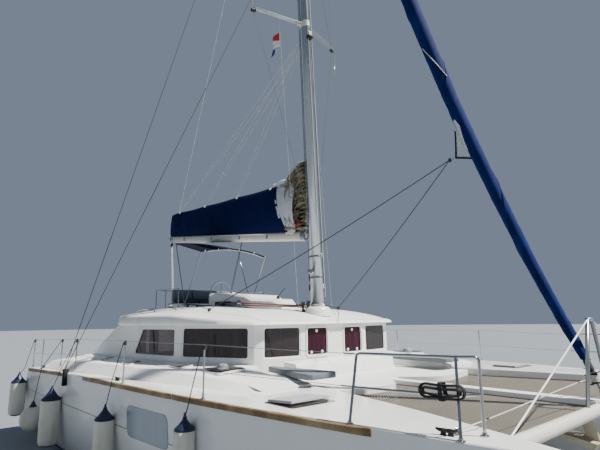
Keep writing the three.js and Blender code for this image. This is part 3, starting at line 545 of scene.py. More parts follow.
# Each finish: the function that makes it, its colour or the name of a user's colour, and its settings
FINISHES = {
    "pale_floor": (finish, (0.2, 0.22, 0.245), dict(rough=0.55, amount=0.1, scale=0.2)),
    # Mouldings
    "hull_gelcoat": (finish, "gelcoat", dict(rough=0.22, stain=(0.66, 0.6, 0.46), amount=0.16, scale=0.9,
        then=waterline, Coat_Weight=0.25)),
    "deck_gelcoat": (finish, "gelcoat", dict(rough=0.42, stain=(0.7, 0.67, 0.58), amount=0.22, scale=1.2,
        relief=("Fine grain", {"Scale": 420}, 0.12, 0.002))),
    "cabin_gelcoat": (finish, "gelcoat", dict(rough=0.3, stain=(0.74, 0.71, 0.62), amount=0.14, scale=1.0,
        Coat_Weight=0.15)),
    "grey_nonskid": (finish, "gelcoat_grey", dict(rough=0.62, stain=(0.42, 0.42, 0.4), amount=0.35, scale=2.2,
        relief=NONSKID)),
    "slate_nonskid": (finish, (0.11, 0.13, 0.155), dict(rough=0.6, stain=(0.22, 0.23, 0.24), amount=0.35,
        scale=2.2, relief=NONSKID)),
    "antifoul_paint": (finish, "antifoul", dict(rough=0.8, amount=0.5, scale=3,
        relief=("Fine grain", {"Scale": 180}, 0.3, 0.002))),
    "white_plastic": (finish, (0.78, 0.78, 0.75), dict(rough=0.35, amount=0.25, scale=6)),
    "black_rubber": (finish, (0.015, 0.015, 0.017), dict(rough=0.6, amount=0.4, scale=6,
        relief=("Fine grain", {"Scale": 500}, 0.15, 0.001))),
    "fender_vinyl": (finish, "fender", dict(rough=0.42, stain=(0.5, 0.48, 0.32), amount=0.6, scale=2.4)),
    "navy_vinyl": (finish, (0.012, 0.018, 0.055), dict(rough=0.4, scale=6)),
    # Wood
    "strake_wood": (finish, "strake", dict(rough=0.5, stain=(0.62, 0.46, 0.24), amount=0.7, scale=1.1,
        then=wood_grain)),
    "joinery_wood": (finish, (0.24, 0.12, 0.05), dict(rough=0.35, amount=0.5, scale=4, Coat_Weight=0.3)),
    # Metal
    "spar_alloy": (finish, "spar", dict(rough=0.3, metal=0.7, amount=0.2, scale=0.8)),
    "boom_paint": (finish, (0.66, 0.65, 0.6), dict(rough=0.38, metal=0.1, scale=2.0)),
    "stainless": (finish, (0.42, 0.43, 0.45), dict(rough=0.14, metal=1.0, stain=(0.45, 0.4, 0.34), amount=0.35,
        scale=5.0, spread=0.08)),
    "bronze": (finish, (0.5, 0.33, 0.16), dict(rough=0.35, metal=1.0, stain=(0.2, 0.3, 0.22), amount=0.5,
        scale=9)),
    "galvanised": (finish, (0.5, 0.46, 0.35), dict(rough=0.55, metal=0.5, amount=0.6, scale=7,
        relief=("Fine grain", {"Scale": 150}, 0.25, 0.002))),
    "wire_steel": (finish, (0.3, 0.3, 0.31), dict(rough=0.35, metal=0.9, scale=3,
        relief=("Rope lay", {"Pitch": 25, "Strands": 4}, 0.3, 0.002))),
    "covered_wire": (finish, (0.012, 0.013, 0.016), dict(rough=0.7, scale=3, Specular_IOR_Level=0.15)),
    # Glass and clear plastic
    "tinted_glass": (acrylic, "glass", {}),
    "burgundy_glass": (finish, (0.02, 0.0035, 0.01), dict(rough=0.08, amount=0.8, scale=3,
        stain=(0.06, 0.008, 0.026), Specular_IOR_Level=0.22)),
    "clear_plastic": (finish, (0.55, 0.56, 0.57), dict(rough=0.12, scale=8, Transmission_Weight=0.45)),
    "smoked_lid": (finish, (0.035, 0.022, 0.028), dict(rough=0.09, amount=0.5, scale=4,
        stain=(0.12, 0.11, 0.11), Coat_Weight=0.5)),
    "grey_pane": (finish, (0.24, 0.3, 0.36), dict(rough=0.2, scale=2.0, Coat_Weight=0.5)),
    # Cloth
    "navy_canvas": (woven, "canvas", dict(stain=(0.003, 0.01, 0.075))),
    "black_canvas": (woven, (0.002, 0.003, 0.009), dict(stain=(0.004, 0.006, 0.02), amount=0.5)),
    "headsail_cover": (woven, (0.004, 0.012, 0.08), dict(stain=(0.008, 0.026, 0.16), amount=0.6)),
    "pale_sail": (woven, (0.5, 0.53, 0.57), dict(rough=0.6, stain=(0.36, 0.38, 0.4), amount=0.5)),
    "olive_sail": (woven, (0.2, 0.18, 0.125), dict(rough=0.7, stain=(0.07, 0.065, 0.045), amount=0.9,
        threads=260)),
    "curtain_cloth": (woven, (0.2, 0.17, 0.09), dict(threads=300)),
    "plum_cloth": (woven, (0.085, 0.035, 0.042), dict(threads=300)),
    "dark_cushion": (woven, (0.035, 0.045, 0.065), dict(rough=0.8, threads=350)),
    "grey_cushion": (woven, (0.14, 0.165, 0.19), dict(rough=0.8, threads=350)),
    "flag_red": (woven, (0.55, 0.02, 0.02), dict(threads=500)),
    "striped_cloth": (finish, (0.5, 0.03, 0.03), dict(rough=0.8, amount=0.2, then=flag_bands)),
    "net_border": (woven, (0.3, 0.28, 0.25), dict(threads=200)),
    "net_cord": (finish, "net", dict(rough=0.85, amount=0.4, scale=1.2, then=open_mesh)),
    # Rope
    "black_rope": (rope, (0.015, 0.015, 0.018), dict(fleck=(0.08, 0.08, 0.08))),
    "red_rope": (rope, (0.55, 0.035, 0.02), dict(fleck=(0.8, 0.5, 0.45), share=0.35)),
    "white_rope": (rope, (0.7, 0.68, 0.62), dict(fleck=(0.5, 0.12, 0.1), share=0.25)),
    "beige_rope": (rope, (0.24, 0.21, 0.15), dict(fleck=(0.12, 0.1, 0.06))),
}
# The finishes made so far
PAINTS = {}


def paint(name):
    """The material of a name, made the first time that a piece asks for it."""
    if name not in PAINTS:
        build, hue, settings = FINISHES[name]
        PAINTS[name] = build(name, hue, **settings)
    return PAINTS[name]


# Sizes and colours that a user would change
class YachtColours(bpy.types.PropertyGroup):
    """Colours of the boat's finishes"""
    gelcoat: bpy.props.FloatVectorProperty(name="Gelcoat", description="White of the hulls, decks and cabin",
                                           subtype="COLOR", size=3, default=(0.8, 0.81, 0.8))
    gelcoat_grey: bpy.props.FloatVectorProperty(name="Grey nonskid", description="Seats, lids and panels",
                                                subtype="COLOR", size=3, default=(0.36, 0.37, 0.38))
    strake: bpy.props.FloatVectorProperty(name="Strake", description="Wood of the rubbing strakes",
                                          subtype="COLOR", size=3, default=(0.22, 0.125, 0.045))
    spar: bpy.props.FloatVectorProperty(name="Spar", description="Alloy of the mast",
                                        subtype="COLOR", size=3, default=(0.3, 0.34, 0.38))
    canvas: bpy.props.FloatVectorProperty(name="Canvas", description="Sail bag, bimini and headsail cover",
                                          subtype="COLOR", size=3, default=(0.0015, 0.005, 0.045))
    glass: bpy.props.FloatVectorProperty(name="Glass", description="Tint of the saloon windows",
                                         subtype="COLOR", size=3, default=(0.12, 0.09, 0.1))
    net: bpy.props.FloatVectorProperty(name="Net", description="Nets between the bows",
                                       subtype="COLOR", size=3, default=(0.13, 0.115, 0.09))
    fender: bpy.props.FloatVectorProperty(name="Fender", description="Vinyl of the fenders",
                                          subtype="COLOR", size=3, default=(0.72, 0.71, 0.62))
    antifoul: bpy.props.FloatVectorProperty(name="Antifoul", description="Paint under the water",
                                            subtype="COLOR", size=3, default=(0.02, 0.035, 0.08))


class YachtSizes(bpy.types.PropertyGroup):
    """Sizes of the small fittings"""
    seal: bpy.props.FloatProperty(name="Window seal", description="Width of the rubber round each pane",
                                  default=0.014, unit="LENGTH")
    corner: bpy.props.FloatProperty(name="Window corner", description="Radius of a pane's corners",
                                    default=0.05, unit="LENGTH")
    rail: bpy.props.FloatProperty(name="Rail", description="Radius of the pulpits' tube",
                                  default=0.0155, unit="LENGTH")
    stanchion: bpy.props.FloatProperty(name="Stanchion", description="Radius of a stanchion",
                                       default=0.0125, unit="LENGTH")
    wire: bpy.props.FloatProperty(name="Lifeline", description="Radius of a lifeline",
                                  default=0.0038, unit="LENGTH")
    sheet: bpy.props.FloatProperty(name="Sheet", description="Radius of the headsail's sheets",
                                   default=0.008, unit="LENGTH")


class YachtStage(bpy.types.PropertyGroup):
    """Camera, floor and light"""
    place: bpy.props.FloatVectorProperty(name="Camera", description="Where the camera stands", size=3,
                                         subtype="TRANSLATION", default=(8.049, -7.144, 2.765))
    heading: bpy.props.FloatProperty(name="Heading", description="Which way it looks, from the bows to port",
                                     subtype="ANGLE", default=2.407)
    tilt: bpy.props.FloatProperty(name="Tilt", description="How far up it looks", subtype="ANGLE",
                                  default=0.195)
    roll: bpy.props.FloatProperty(name="Roll", description="How far it leans", subtype="ANGLE",
                                  default=-0.012)
    lens: bpy.props.FloatProperty(name="Lens", description="Focal length on a 36 mm frame", default=28.3)
    sun: bpy.props.FloatProperty(name="Sun", description="Strength of the key light", default=11.0)
    sky: bpy.props.FloatProperty(name="Sky", description="Strength of the soft light all round", default=0.3)


class YACHT_OT_stage(bpy.types.Operator):
    """Set up the camera, the pale floor and the soft light"""
    bl_idname = "yacht.stage"
    bl_label = "Stage"

    def execute(self, context):
        stage = context.scene.yacht_stage
        make_camera(stage)
        make_floor()
        make_light(stage)
        return {"FINISHED"}


def make_camera(stage):
    """The camera, turned by its heading, tilt and roll."""
    yaw, pitch, roll = stage.heading, stage.tilt, stage.roll
    ahead = Vector((cos(pitch) * cos(yaw), cos(pitch) * sin(yaw), sin(pitch)))
    right = Vector((sin(yaw), -cos(yaw), 0))
    up = right.cross(ahead)
    across = cos(roll) * right + sin(roll) * up
    above = -sin(roll) * right + cos(roll) * up
    data = bpy.data.cameras.new("camera")
    data.lens = stage.lens
    data.sensor_width = 36
    data.clip_end = 500
    camera = bpy.data.objects.new("camera", data)
    turn = Matrix((across, above, -ahead)).transposed()
    camera.matrix_world = Matrix.Translation(stage.place) @ turn.to_4x4()
    bpy.context.scene.collection.objects.link(camera)
    bpy.context.scene.camera = camera


def make_floor():
    """A pale floor at the waterline."""
    radius = 160
    mesh = bpy.data.meshes.new("floor")
    ring = [(radius * cos(a), radius * sin(a), 0) for a in turns(64)]
    mesh.from_pydata(ring, [], [tuple(range(64))])
    mesh.materials.append(paint("pale_floor"))
    floor = bpy.data.objects.new("floor", mesh)
    bpy.context.scene.collection.objects.link(floor)


def make_light(stage):
    """Soft light from all round, and one key light from high over the port bow."""
    world = bpy.data.worlds.new("studio")
    world.use_nodes = True
    world.node_tree.nodes["Background"].inputs["Color"].default_value = (0.62, 0.76, 1.0, 1)
    world.node_tree.nodes["Background"].inputs["Strength"].default_value = stage.sky
    bpy.context.scene.world = world
    sun = bpy.data.lights.new("sun", "SUN")
    sun.energy = stage.sun
    sun.angle = radians(1.5)
    sun.color = (1.0, 0.965, 0.9)
    lamp = bpy.data.objects.new("sun", sun)
    towards = Vector((0.42, 0.38, 0.83))
    lamp.rotation_euler = towards.to_track_quat("Z", "Y").to_euler()
    bpy.context.scene.collection.objects.link(lamp)


# Hulls
class YACHT_OT_hulls(bpy.types.Operator):
    """Finish the hulls, with the painted shade of their groove, side panes and stern pads"""
    bl_idname = "yacht.hulls"
    bl_label = "Hulls"

    def execute(self, context):
        for name, side in SIDES.items():
            dress(f"hull_{name}", "hull_gelcoat", 0.012, 3)
            hull_side(name, side)
            stern(name, side)
            for part in ("drive_leg", "rudder"):
                dress(f"{part}_{name}", "antifoul_paint", 0.004)
            dress(f"propeller_{name}", "bronze", 0.003)
        return {"FINISHED"}


# The groove's painted shade line: its height and ends; and the side pane's ends, foot and top
GROOVE = {"z": 1.035, "aft": -6.3, "fore": 3.4}
SIDE_PANE = (0.1, 1.45, 0.93, 1.42)


def hull_side(name, side):
    """A black tube in the groove along the hull, as painted shade, and the crowned pane in its side."""
    node = f"hull_{name}"
    line = Shape()
    steps = 40
    path = []
    for k in range(steps + 1):
        x = GROOVE["aft"] + (GROOVE["fore"] - GROOVE["aft"]) * k / steps
        path.append((x, flank(x, GROOVE["z"], node, side) - side * 0.002, GROOVE["z"]))
    # painted shade: a black rubber tube stands for the shade in the hull's groove
    line.tube(path, 0.006, 6)
    piece(f"style_line_{name}", line, "black_rubber")

    def place(x, z, out):
        return (x, flank(x, z, node, side) + side * out, z)
    x0, x1, z0, z1 = SIDE_PANE
    outline = rounded(rectangle(x0, x1, z0, z1), 0.14, 8)
    middle = Vector(((x0 + x1) / 2, (z0 + z1) / 2))
    rings = [[place(*p, -0.01) for p in outline]]
    for share in (1.0, 0.99, 0.9, 0.75, 0.6, 0.45, 0.3, 0.15, 0.04):
        rings.append([place(*middle.lerp(p, share), 0.005 if share == 1.0 else 0.0085) for p in outline])
    piece(f"hull_pane_{name}", Shape().loft(rings), "grey_pane", angle=20)


def stern(name, side):
    """Nonskid pads on the stern steps."""
    pads = Shape()
    for x0, x1, z in ((-6.28, -6.1, 0.96), (-6.56, -6.38, 0.65), (-6.86, -6.64, 0.37), (-5.98, -5.8, 1.27)):
        y0, y1 = sorted((side * 2.62, side * 3.5))
        outline = rounded(rectangle(x0, x1, y0, y1), 0.03)
        pads.plate(outline, lambda x, y, up, z=z: (x, y, z + up), -0.002, 0.004)
    piece(f"stern_pads_{name}", pads, "grey_nonskid")


class YACHT_OT_strakes(bpy.types.Operator):
    """Build the wooden rubbing strakes, in three lengths on each side"""
    bl_idname = "yacht.strakes"
    bl_label = "Strakes"

    def execute(self, context):
        for name, side in SIDES.items():
            strake("middle", name, side, -2.04, 1.565, (f"strake_{name}",))
            strake("fore", name, side, 1.6, 4.9)
            strake("aft", name, side, -6.25, -3.4)
        return {"FINISHED"}


def sheer(x, name, side):
    """The deck's outer edge on one hull: how far out it is, and its height."""
    node = f"hull_{name}"
    z = top(x, side * (2.95 if x > -5.7 else 3.8), node)
    return flank(x, z - 0.03, node, side), z


def rail_line(x, name, side):
    """The deck's edge, taken from just ahead of the stern for what stands further aft."""
    return sheer(min(max(x, -5.6), 6), name, side)


def strake(label, name, side, aft, fore, stands_for=()):
    """A length of rounded wood with chamfered ends."""
    rings = []
    steps = max(int((fore - aft) / 0.12), 2)
    # how far out and how far up from the deck's edge
    profile = ((0, -0.082), (0.02, -0.084), (0.031, -0.075), (0.033, -0.045), (0.031, -0.018), (0.022, -0.008),
               (0, -0.006))
    for k in range(steps + 1):
        x = aft + (fore - aft) * k / steps
        y, z = sheer(x, name, side)
        end = 0.35 if k in (0, steps) else 1.0
        rings.append([(x, y + side * (0.0008 + out * end), z + up) for out, up in profile])
    piece(f"strake_{label}_{name}", Shape().loft(rings), "strake_wood", stands_for=stands_for)


# Decks
class YACHT_OT_decks(bpy.types.Operator):
    """Finish the decks, the forward seats and the front locker"""
    bl_idname = "yacht.decks"
    bl_label = "Decks"

    def execute(self, context):
        dress("bridgedeck", "deck_gelcoat", 0.012)
        for name, side in SIDES.items():
            dress(f"side_deck_{name}", "deck_gelcoat", 0.014, 3, 20)
            forward_seat(name, side)
        front_locker()
        return {"FINISHED"}


def forward_seat(name, side):
    """A moulded seat with a lip that turns down round its edge."""
    outline = [(SEAT_LOW.x + 0.02, 1.72), (SEAT_HIGH.x - 0.06, 1.53), (SEAT_HIGH.x, 1.6), (SEAT_HIGH.x, 2.09),
               (SEAT_HIGH.x - 0.06, 2.15), (2.45, 2.13), (2.05, 2.03), (SEAT_LOW.x + 0.02, 1.79)]
    edge = [Vector((x, side * y)) for x, y in rounded(outline, 0.03)]
    low, high = SEAT_LOW.z, SEAT_HIGH.z
    shape = Shape()
    rings = [(0.03, low), (0.004, low), (0, low + 0.006), (0, high - 0.02), (0.006, high - 0.006), (0.02, high),
             (0.06, high), (0.066, high - 0.004)]
    shape.loft([[(p.x, p.y, z) for p in shrunk(edge, by)] for by, z in rings])
    piece(f"seat_{name}", shape, "slate_nonskid", stands_for=(f"forward_seat_{name}",))


def front_locker():
    """The sloping padded back below the front windows, in three panels with piped seams."""
    low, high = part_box("front_locker")
    seams = [low.y, -0.52, 0.38, high.y]
    shape = Shape()
    profile = [(1.195, 1.7015), (1.585, 1.7015), (1.578, 1.76), (1.545, 1.94), (1.53, 1.962), (1.5, 1.975),
               (1.22, 1.988), (1.195, 1.988)]
    for a, b in zip(seams, seams[1:]):
        rows = []
        for k in range(9):
            t = k / 8
            y = a + (b - a) * t + (0.003 if k == 0 else -0.003 if k == 8 else 0)
            pull = 0.012 if k in (0, 8) else 0.0
            rows.append([(x - pull * (x > 1.3), y, z - pull * (z > 1.8)) for x, z in profile])
        shape.loft(rows)
    piece("front_back", shape, "deck_gelcoat", stands_for=("front_locker",), angle=50)


# Deck hatches: aft end, fore end, inner and outer edge, and by how many degrees each is open
HATCHES = {
    "ajar": (0.8, 1.34, 2.33, 2.88, 3),
    "mid": (-0.3, 0.18, 2.66, 2.94, 1),
    "aft_1": (-1.76, -1.36, 2.94, 3.22, 0),
    "aft_2": (-3.06, -2.8, 2.94, 3.22, 0),
}


class YACHT_OT_hatches(bpy.types.Operator):
    """Build the deck hatches, with frames, smoked lids and a dome vent, and finish the bow hatches with their
    rims
    """
    bl_idname = "yacht.hatches"
    bl_label = "Deck hatches"

    def execute(self, context):
        for name, side in SIDES.items():
            frames, lids, vents = Shape(), Shape(), Shape()
            for row in HATCHES.values():
                deck_hatch(frames, lids, name, side, *row)
            dome(vents, name, side)
            piece(f"hatch_frames_{name}", frames, "white_plastic", bevel=0.003)
            piece(f"hatch_lids_{name}", lids, "smoked_lid", bevel=0.003)
            piece(f"dome_vent_{name}", vents, "clear_plastic")
            bow_hatch(name, side)
        return {"FINISHED"}


# Width of a deck hatch's frame, and how far its lid lies inside the frame's outer edge
HATCH_FRAME, LID_IN = 0.045, 0.03


def deck_hatch(frames, lids, name, side, x0, x1, y0, y1, ajar):
    """One hatch, hinged along its inner edge and lifted by some degrees at its outer one."""
    node = f"side_deck_{name}"
    outline = [Vector((x, side * y)) for x, y in rounded(rectangle(x0, x1, y0, y1), 0.05)]
    base = max(top(x, side * y, node) for x, y in ((x0, y0), (x1, y0), (x0, y1), (x1, y1)))
    slope = (top((x0 + x1) / 2, side * y1, node) - top((x0 + x1) / 2, side * y0, node)) / (y1 - y0)
    level = base - max(slope * (y1 - y0), 0)

    def place(x, y, up):
        return (x, y, level + slope * (abs(y) - y0) + up)
    frames.ring(outline, shrunk(outline, HATCH_FRAME), place, -0.02, 0.016)

    def lifted(x, y, up):
        rise = tan(radians(ajar)) * (abs(y) - y0)
        return (x, y, level + slope * (abs(y) - y0) + rise + up)
    lids.plate(shrunk(outline, LID_IN), lifted, 0.018, 0.03)


def dome(vents, name, side):
    """A clear dome over a vent in the side deck."""
    x, y = 1.06, side * 2.6
    base = top(x, y, f"side_deck_{name}") + 0.04
    vents.lathe([(0.12, 0), (0.12, 0.01), (0.105, 0.018), (0.1, 0.045), (0.08, 0.07), (0.045, 0.085),
                 (NEAR, 0.09)], (x, y, base))


def bow_hatch(name, side):
    """The grey lid, which turns on its hinge, and the dark rim that it lies in."""
    node = f"bow_hatch_{name}"
    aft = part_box(node)[0].x
    dress(node, "grey_nonskid", 0.006)
    rim = Shape()
    y0, y1 = sorted((side * 2.60, side * 3.35))
    outline = rounded(rectangle(aft - 0.03, 3.68, y0, y1), 0.06)
    inner = rounded(rectangle(aft + 0.05, 3.6, y0 + 0.08, y1 - 0.08), 0.04)

    def place(x, y, up):
        return (x, y, top(x, y, f"hull_{name}") + up)
    rim.ring(outline, inner, place, -0.01, 0.0006)
    piece(f"bow_hatch_rim_{name}", rim, "smoked_lid")


# Cabin
# A place inside it, to tell which way a window faces
CABIN_MIDDLE = Vector((-1.5, 0, 0))


class Pane:
    """A window's outer face, from the corners of its node, and how far it reaches along and up."""

    def __init__(self, node):
        mesh = NODES[node].data
        points = [v.co.copy() for v in mesh.vertices]
        middle = sum(points, Vector()) / len(points)
        out = max(mesh.polygons, key=lambda f: f.area).normal.copy()
        out = Vector((out.x, out.y, 0)).normalized()
        if out.dot(middle - CABIN_MIDDLE) < 0:
            out = -out
        reach = max((p - middle).dot(out) for p in points)
        face = [p for p in points if (p - middle).dot(out) > reach - 0.004]
        self.out = out
        self.along = Vector((-out.y, out.x, 0))
        self.at = Vector((face[0].x, face[0].y, 0))
        flat = {(round((p - self.at).dot(self.along), 4), round(p.z, 4)) for p in face}
        centre = sum((Vector(p) for p in flat), Vector((0, 0))) / len(flat)
        self.corners = sorted((Vector(p) for p in flat),
                              key=lambda p: atan2(p.y - centre.y, p.x - centre.x))
        self.start, self.end = (pick(c.x for c in self.corners) for pick in (min, max))
        self.low, self.high = (pick(c.y for c in self.corners) for pick in (min, max))

    def place(self, s, z, out):
        p = self.at + self.along * s + self.out * out
        return (p.x, p.y, z)


class YACHT_OT_cabin(bpy.types.Operator):
    """Finish the cabin, its windows, curtains, table and the saloon door"""
    bl_idname = "yacht.cabin"
    bl_label = "Cabin"

    def execute(self, context):
        dress("cabin_walls", "cabin_gelcoat", 0.012)
        dress("cabin_bulkhead", "cabin_gelcoat", 0.01)
        dress("saloon_table", "joinery_wood", 0.008)
        dress("saloon_door", "tinted_glass", 0.004)
        dress("door_fixed_pane", "tinted_glass", 0.003)
        windows(context.scene.yacht_sizes)
        return {"FINISHED"}


def windows(sizes):
    """The panes with their surrounds, seals and what hangs behind them."""
    surrounds, seals, latches = Shape(), Shape(), Shape()
    for name in SIDES:
        for kind in ("hatch_pane_front", "window_front", "window_side", "window_aft"):
            node = f"{kind}_{name}"
            pane = Pane(node)
            opening = rounded(pane.corners, 0.002)
            outer = rounded(pane.corners, sizes.corner)
            inner = shrunk(outer, sizes.seal + 0.02)
            middle = shrunk(outer, 0.022)
            surrounds.ring(opening, middle, pane.place, -0.02, 0.01)
            seals.ring(shrunk(outer, 0.018), inner, pane.place, -0.012, 0.004)
            glass = Shape().plate(shrunk(outer, 0.026), pane.place, -0.01, -0.004)
            tint = "burgundy_glass" if kind == "hatch_pane_front" else "tinted_glass"
            piece(f"glass_{kind}_{name}", glass, tint, stands_for=(node,))
            if kind == "hatch_pane_front":
                hatch_frame(latches, pane)
            else:
                curtains(kind, name, pane)
    piece("window_surrounds", surrounds, "cabin_gelcoat")
    piece("window_seals", seals, "black_rubber")
    piece("hatch_latches", latches, "white_plastic", bevel=0.002)


def hatch_frame(latches, pane):
    """A raised frame round an opening pane, and its latches."""
    frame_line = rounded(pane.corners, 0.08)
    latches.ring(shrunk(frame_line, -0.035), shrunk(frame_line, 0.006), pane.place, 0.012, 0.034)
    for share, z in ((0.24, pane.low + 0.06), (0.76, pane.low + 0.06), (0.5, pane.high - 0.07)):
        s = pane.start + share * (pane.end - pane.start)
        latches.lathe([(0.03, -0.006), (0.03, 0.006), (0.02, 0.012), (NEAR, 0.014)],
                      pane.place(s, z, 0), pane.out, 16)


# How wide one fold of a curtain hangs, how many steps draw it, and how much wider the cloth is than its folds
FOLD, FOLD_STEPS, FULLNESS = 0.055, 8, 1.45


def curtains(kind, name, pane):
    """Pleated curtains drawn part of the way from each end of a window."""
    z0, z1 = pane.low - 0.02, pane.high + 0.02
    start, end = pane.start, pane.end
    # share of the window where each curtain starts and ends, from aft
    spans = {"window_side": ((0, 0.16), (0.16, 0.38), (0.47, 0.74), (0.83, 1.0)),
             "window_aft": ((0.02, 0.2), (0.3, 0.52)), "window_front": ((0.0, 0.5), (0.52, 0.98))}[kind]
    pale = pane.along.x > 0
    for i, (a, b) in enumerate(spans if pale else [(1 - q, 1 - p) for p, q in spans]):
        s0, s1 = start + a * (end - start), start + b * (end - start)
        wide = s1 - s0
        steps = max(int(wide / FOLD), 3) * FOLD_STEPS
        rows = []
        for row in range(7):
            z = z1 + (z0 - z1) * row / 6
            line = []
            for k in range(steps + 1):
                s = s0 + wide * k / steps
                depth = -0.075 + 0.014 * sin(tau * k / FOLD_STEPS + 0.5 * sin(1.7 * s + row))
                line.append(pane.place(s, z, depth))
            rows.append(line)
        shade = "curtain_cloth" if i == 0 and kind != "window_front" else "plum_cloth"
        made = piece(f"curtain_{kind}_{name}_{i + 1}", Shape().grid(rows), shade,
                     thick=0.002, angle=80)


# Roof
# Its edge on the port side, from the front to the back, and the point that its rings shrink towards
EAVE = ((1.275, 0), (1.265, 0.6), (1.225, 1.25), (1.15, 1.905), (0.9, 2.11), (0.3, 2.39), (-0.58, 2.69),
        (-1.5, 2.81), (-2.3, 2.86), (-2.95, 2.85), (-3.3, 2.69), (-3.7, 2.33), (-4.2, 1.72), (-4.54, 0.9),
        (-4.62, 0))
ROOF_MIDDLE = -1.7
ROOF_UNDER = 2.6405
# how far out from the middle, height: share of the fascia, and height above it
ROOF_RINGS = ((0.96, 0, 0.001), (0.984, 0, 0), (0.994, 0.06, 0), (1.0, 0.3, 0), (0.992, 0.78, 0), (0.985, 1, 0),
              (0.975, 1, 0.012), (0.95, 1, 0.025), (0.92, 0.92, 0.062), (0.88, 0.8, 0.11), (0.82, 0.7, 0.164),
              (0.76, 0.6, 0.21), (0.68, 0.54, 0.256), (0.6, 0.5, 0.29), (0.45, 0.5, 0.312), (0.3, 0.5, 0.32),
              (0.1, 0.5, 0.323))


def fascia(x):
    """How high the roof's edge stands at a distance along the boat."""
    return 0.06 + 0.15 * min(max((1.2 - x) / 1.9, 0), 1)


class YACHT_OT_roof(bpy.types.Operator):
    """Build the coachroof with its handrails"""
    bl_idname = "yacht.roof"
    bl_label = "Coachroof"

    def execute(self, context):
        outline = list(EAVE) + [(x, -y) for x, y in reversed(EAVE[1:-1])]
        smooth = curve([(x, y, 0) for x, y in outline], 5, closed=True)
        rings = [[(ROOF_MIDDLE + (p.x - ROOF_MIDDLE) * k, p.y * k, ROOF_UNDER + share * fascia(p.x) + rise)
                  for p in smooth] for k, share, rise in ROOF_RINGS]
        shape = Shape().loft(rings)
        shape.lathe([(0.3, 2.8), (0.275, 2.93), (0.245, 2.985), (0.22, 2.998), (NEAR, 2.9995)],
                    (MAST_FOOT.x, 0, 0), sides=32)
        piece("coachroof", shape, "cabin_gelcoat", stands_for=("roof",), angle=50)
        handrails()
        return {"FINISHED"}


# Radius of the handrails, the guard rail's posts and the pulpits' middle rail
THIN_RAIL = 0.0125


def handrails():
    """A bent rail on posts along each side of the roof."""
    for name, side in SIDES.items():
        shape = Shape()
        posts = ((-3.3, 2.3), (-2.7, 2.42), (-2.0, 2.44), (-1.2, 2.38))
        points = [(x, side * y, top(x, side * y, "roof") + 0.07) for x, y in posts]
        first, last = ((x + out, y, top(x + out, y, "roof") - 0.005)
                       for (x, y, _), out in ((points[0], -0.05), (points[-1], 0.05)))
        shape.tube(curve([first, *points, last], 8), THIN_RAIL, 10)
        for x, y, z in points[1:-1]:
            shape.rod((x, y, z), (x, y, z - 0.08), 0.01, 8)
        piece(f"handrail_{name}", shape, "stainless")


# Helm
class YACHT_OT_helm(bpy.types.Operator):
    """Build the helm: its pod, wheel, seat cushions, winches and guard rail"""
    bl_idname = "yacht.helm"
    bl_label = "Helm"

    def execute(self, context):
        dress("helm_pod", "cabin_gelcoat", 0.035, 4)
        wheel()
        helm_seat()
        guard_rail()
        for letter, x, y in (("b", -0.75, -1.05), ("a", -0.75, 1.05), ("c", -3.1, -1.5)):
            winch(f"winch_{letter}", x, y, "roof")
        return {"FINISHED"}


def wheel():
    """The rim, five spokes and hub of the steering wheel."""
    shape = Shape()
    at = WHEEL_AT
    r = WHEEL_R - 0.013
    ring = [at + Vector((0, r * cos(a), r * sin(a))) for a in turns(64)]
    shape.tube(ring, 0.0135, 12, closed=True)
    for turn in turns(5):
        a = pi / 2 + turn
        shape.rod(at, at + Vector((0, r * cos(a), r * sin(a))), 0.0065, 8)
    shape.lathe([(0.045, -0.025), (0.045, 0.015), (0.03, 0.025)], at, (-1, 0, 0))
    piece("wheel_rim", shape, "stainless", "wheel", ("steering_wheel",))


def helm_seat():
    """A moulded base with three cushions and their backs."""
    low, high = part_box("helm_seat")
    base = Shape()
    ground = top(-4.0, 0, "roof")
    base.box((low.x, low.y, ground - 0.1), (high.x, high.y, 3.2))
    base.box((low.x, low.y, 3.15), (low.x + 0.035, high.y, 3.56))
    piece("seat_base", base, "cabin_gelcoat", stands_for=("helm_seat",), bevel=0.02)
    width = (high.y - low.y) / 3
    for i in range(3):
        y0 = low.y + i * width + 0.01
        y1 = y0 + width - 0.02
        for kind, lo, hi in (("seat", (low.x + 0.15, y0, 3.2), (high.x - 0.01, y1, 3.325)),
                             ("back", (low.x + 0.035, y0, 3.29), (low.x + 0.14, y1, 3.595))):
            shade = "dark_cushion" if kind == "seat" else "grey_cushion"
            pad = cushion(f"helm_{kind}_{i + 1}", lo, hi, shade)


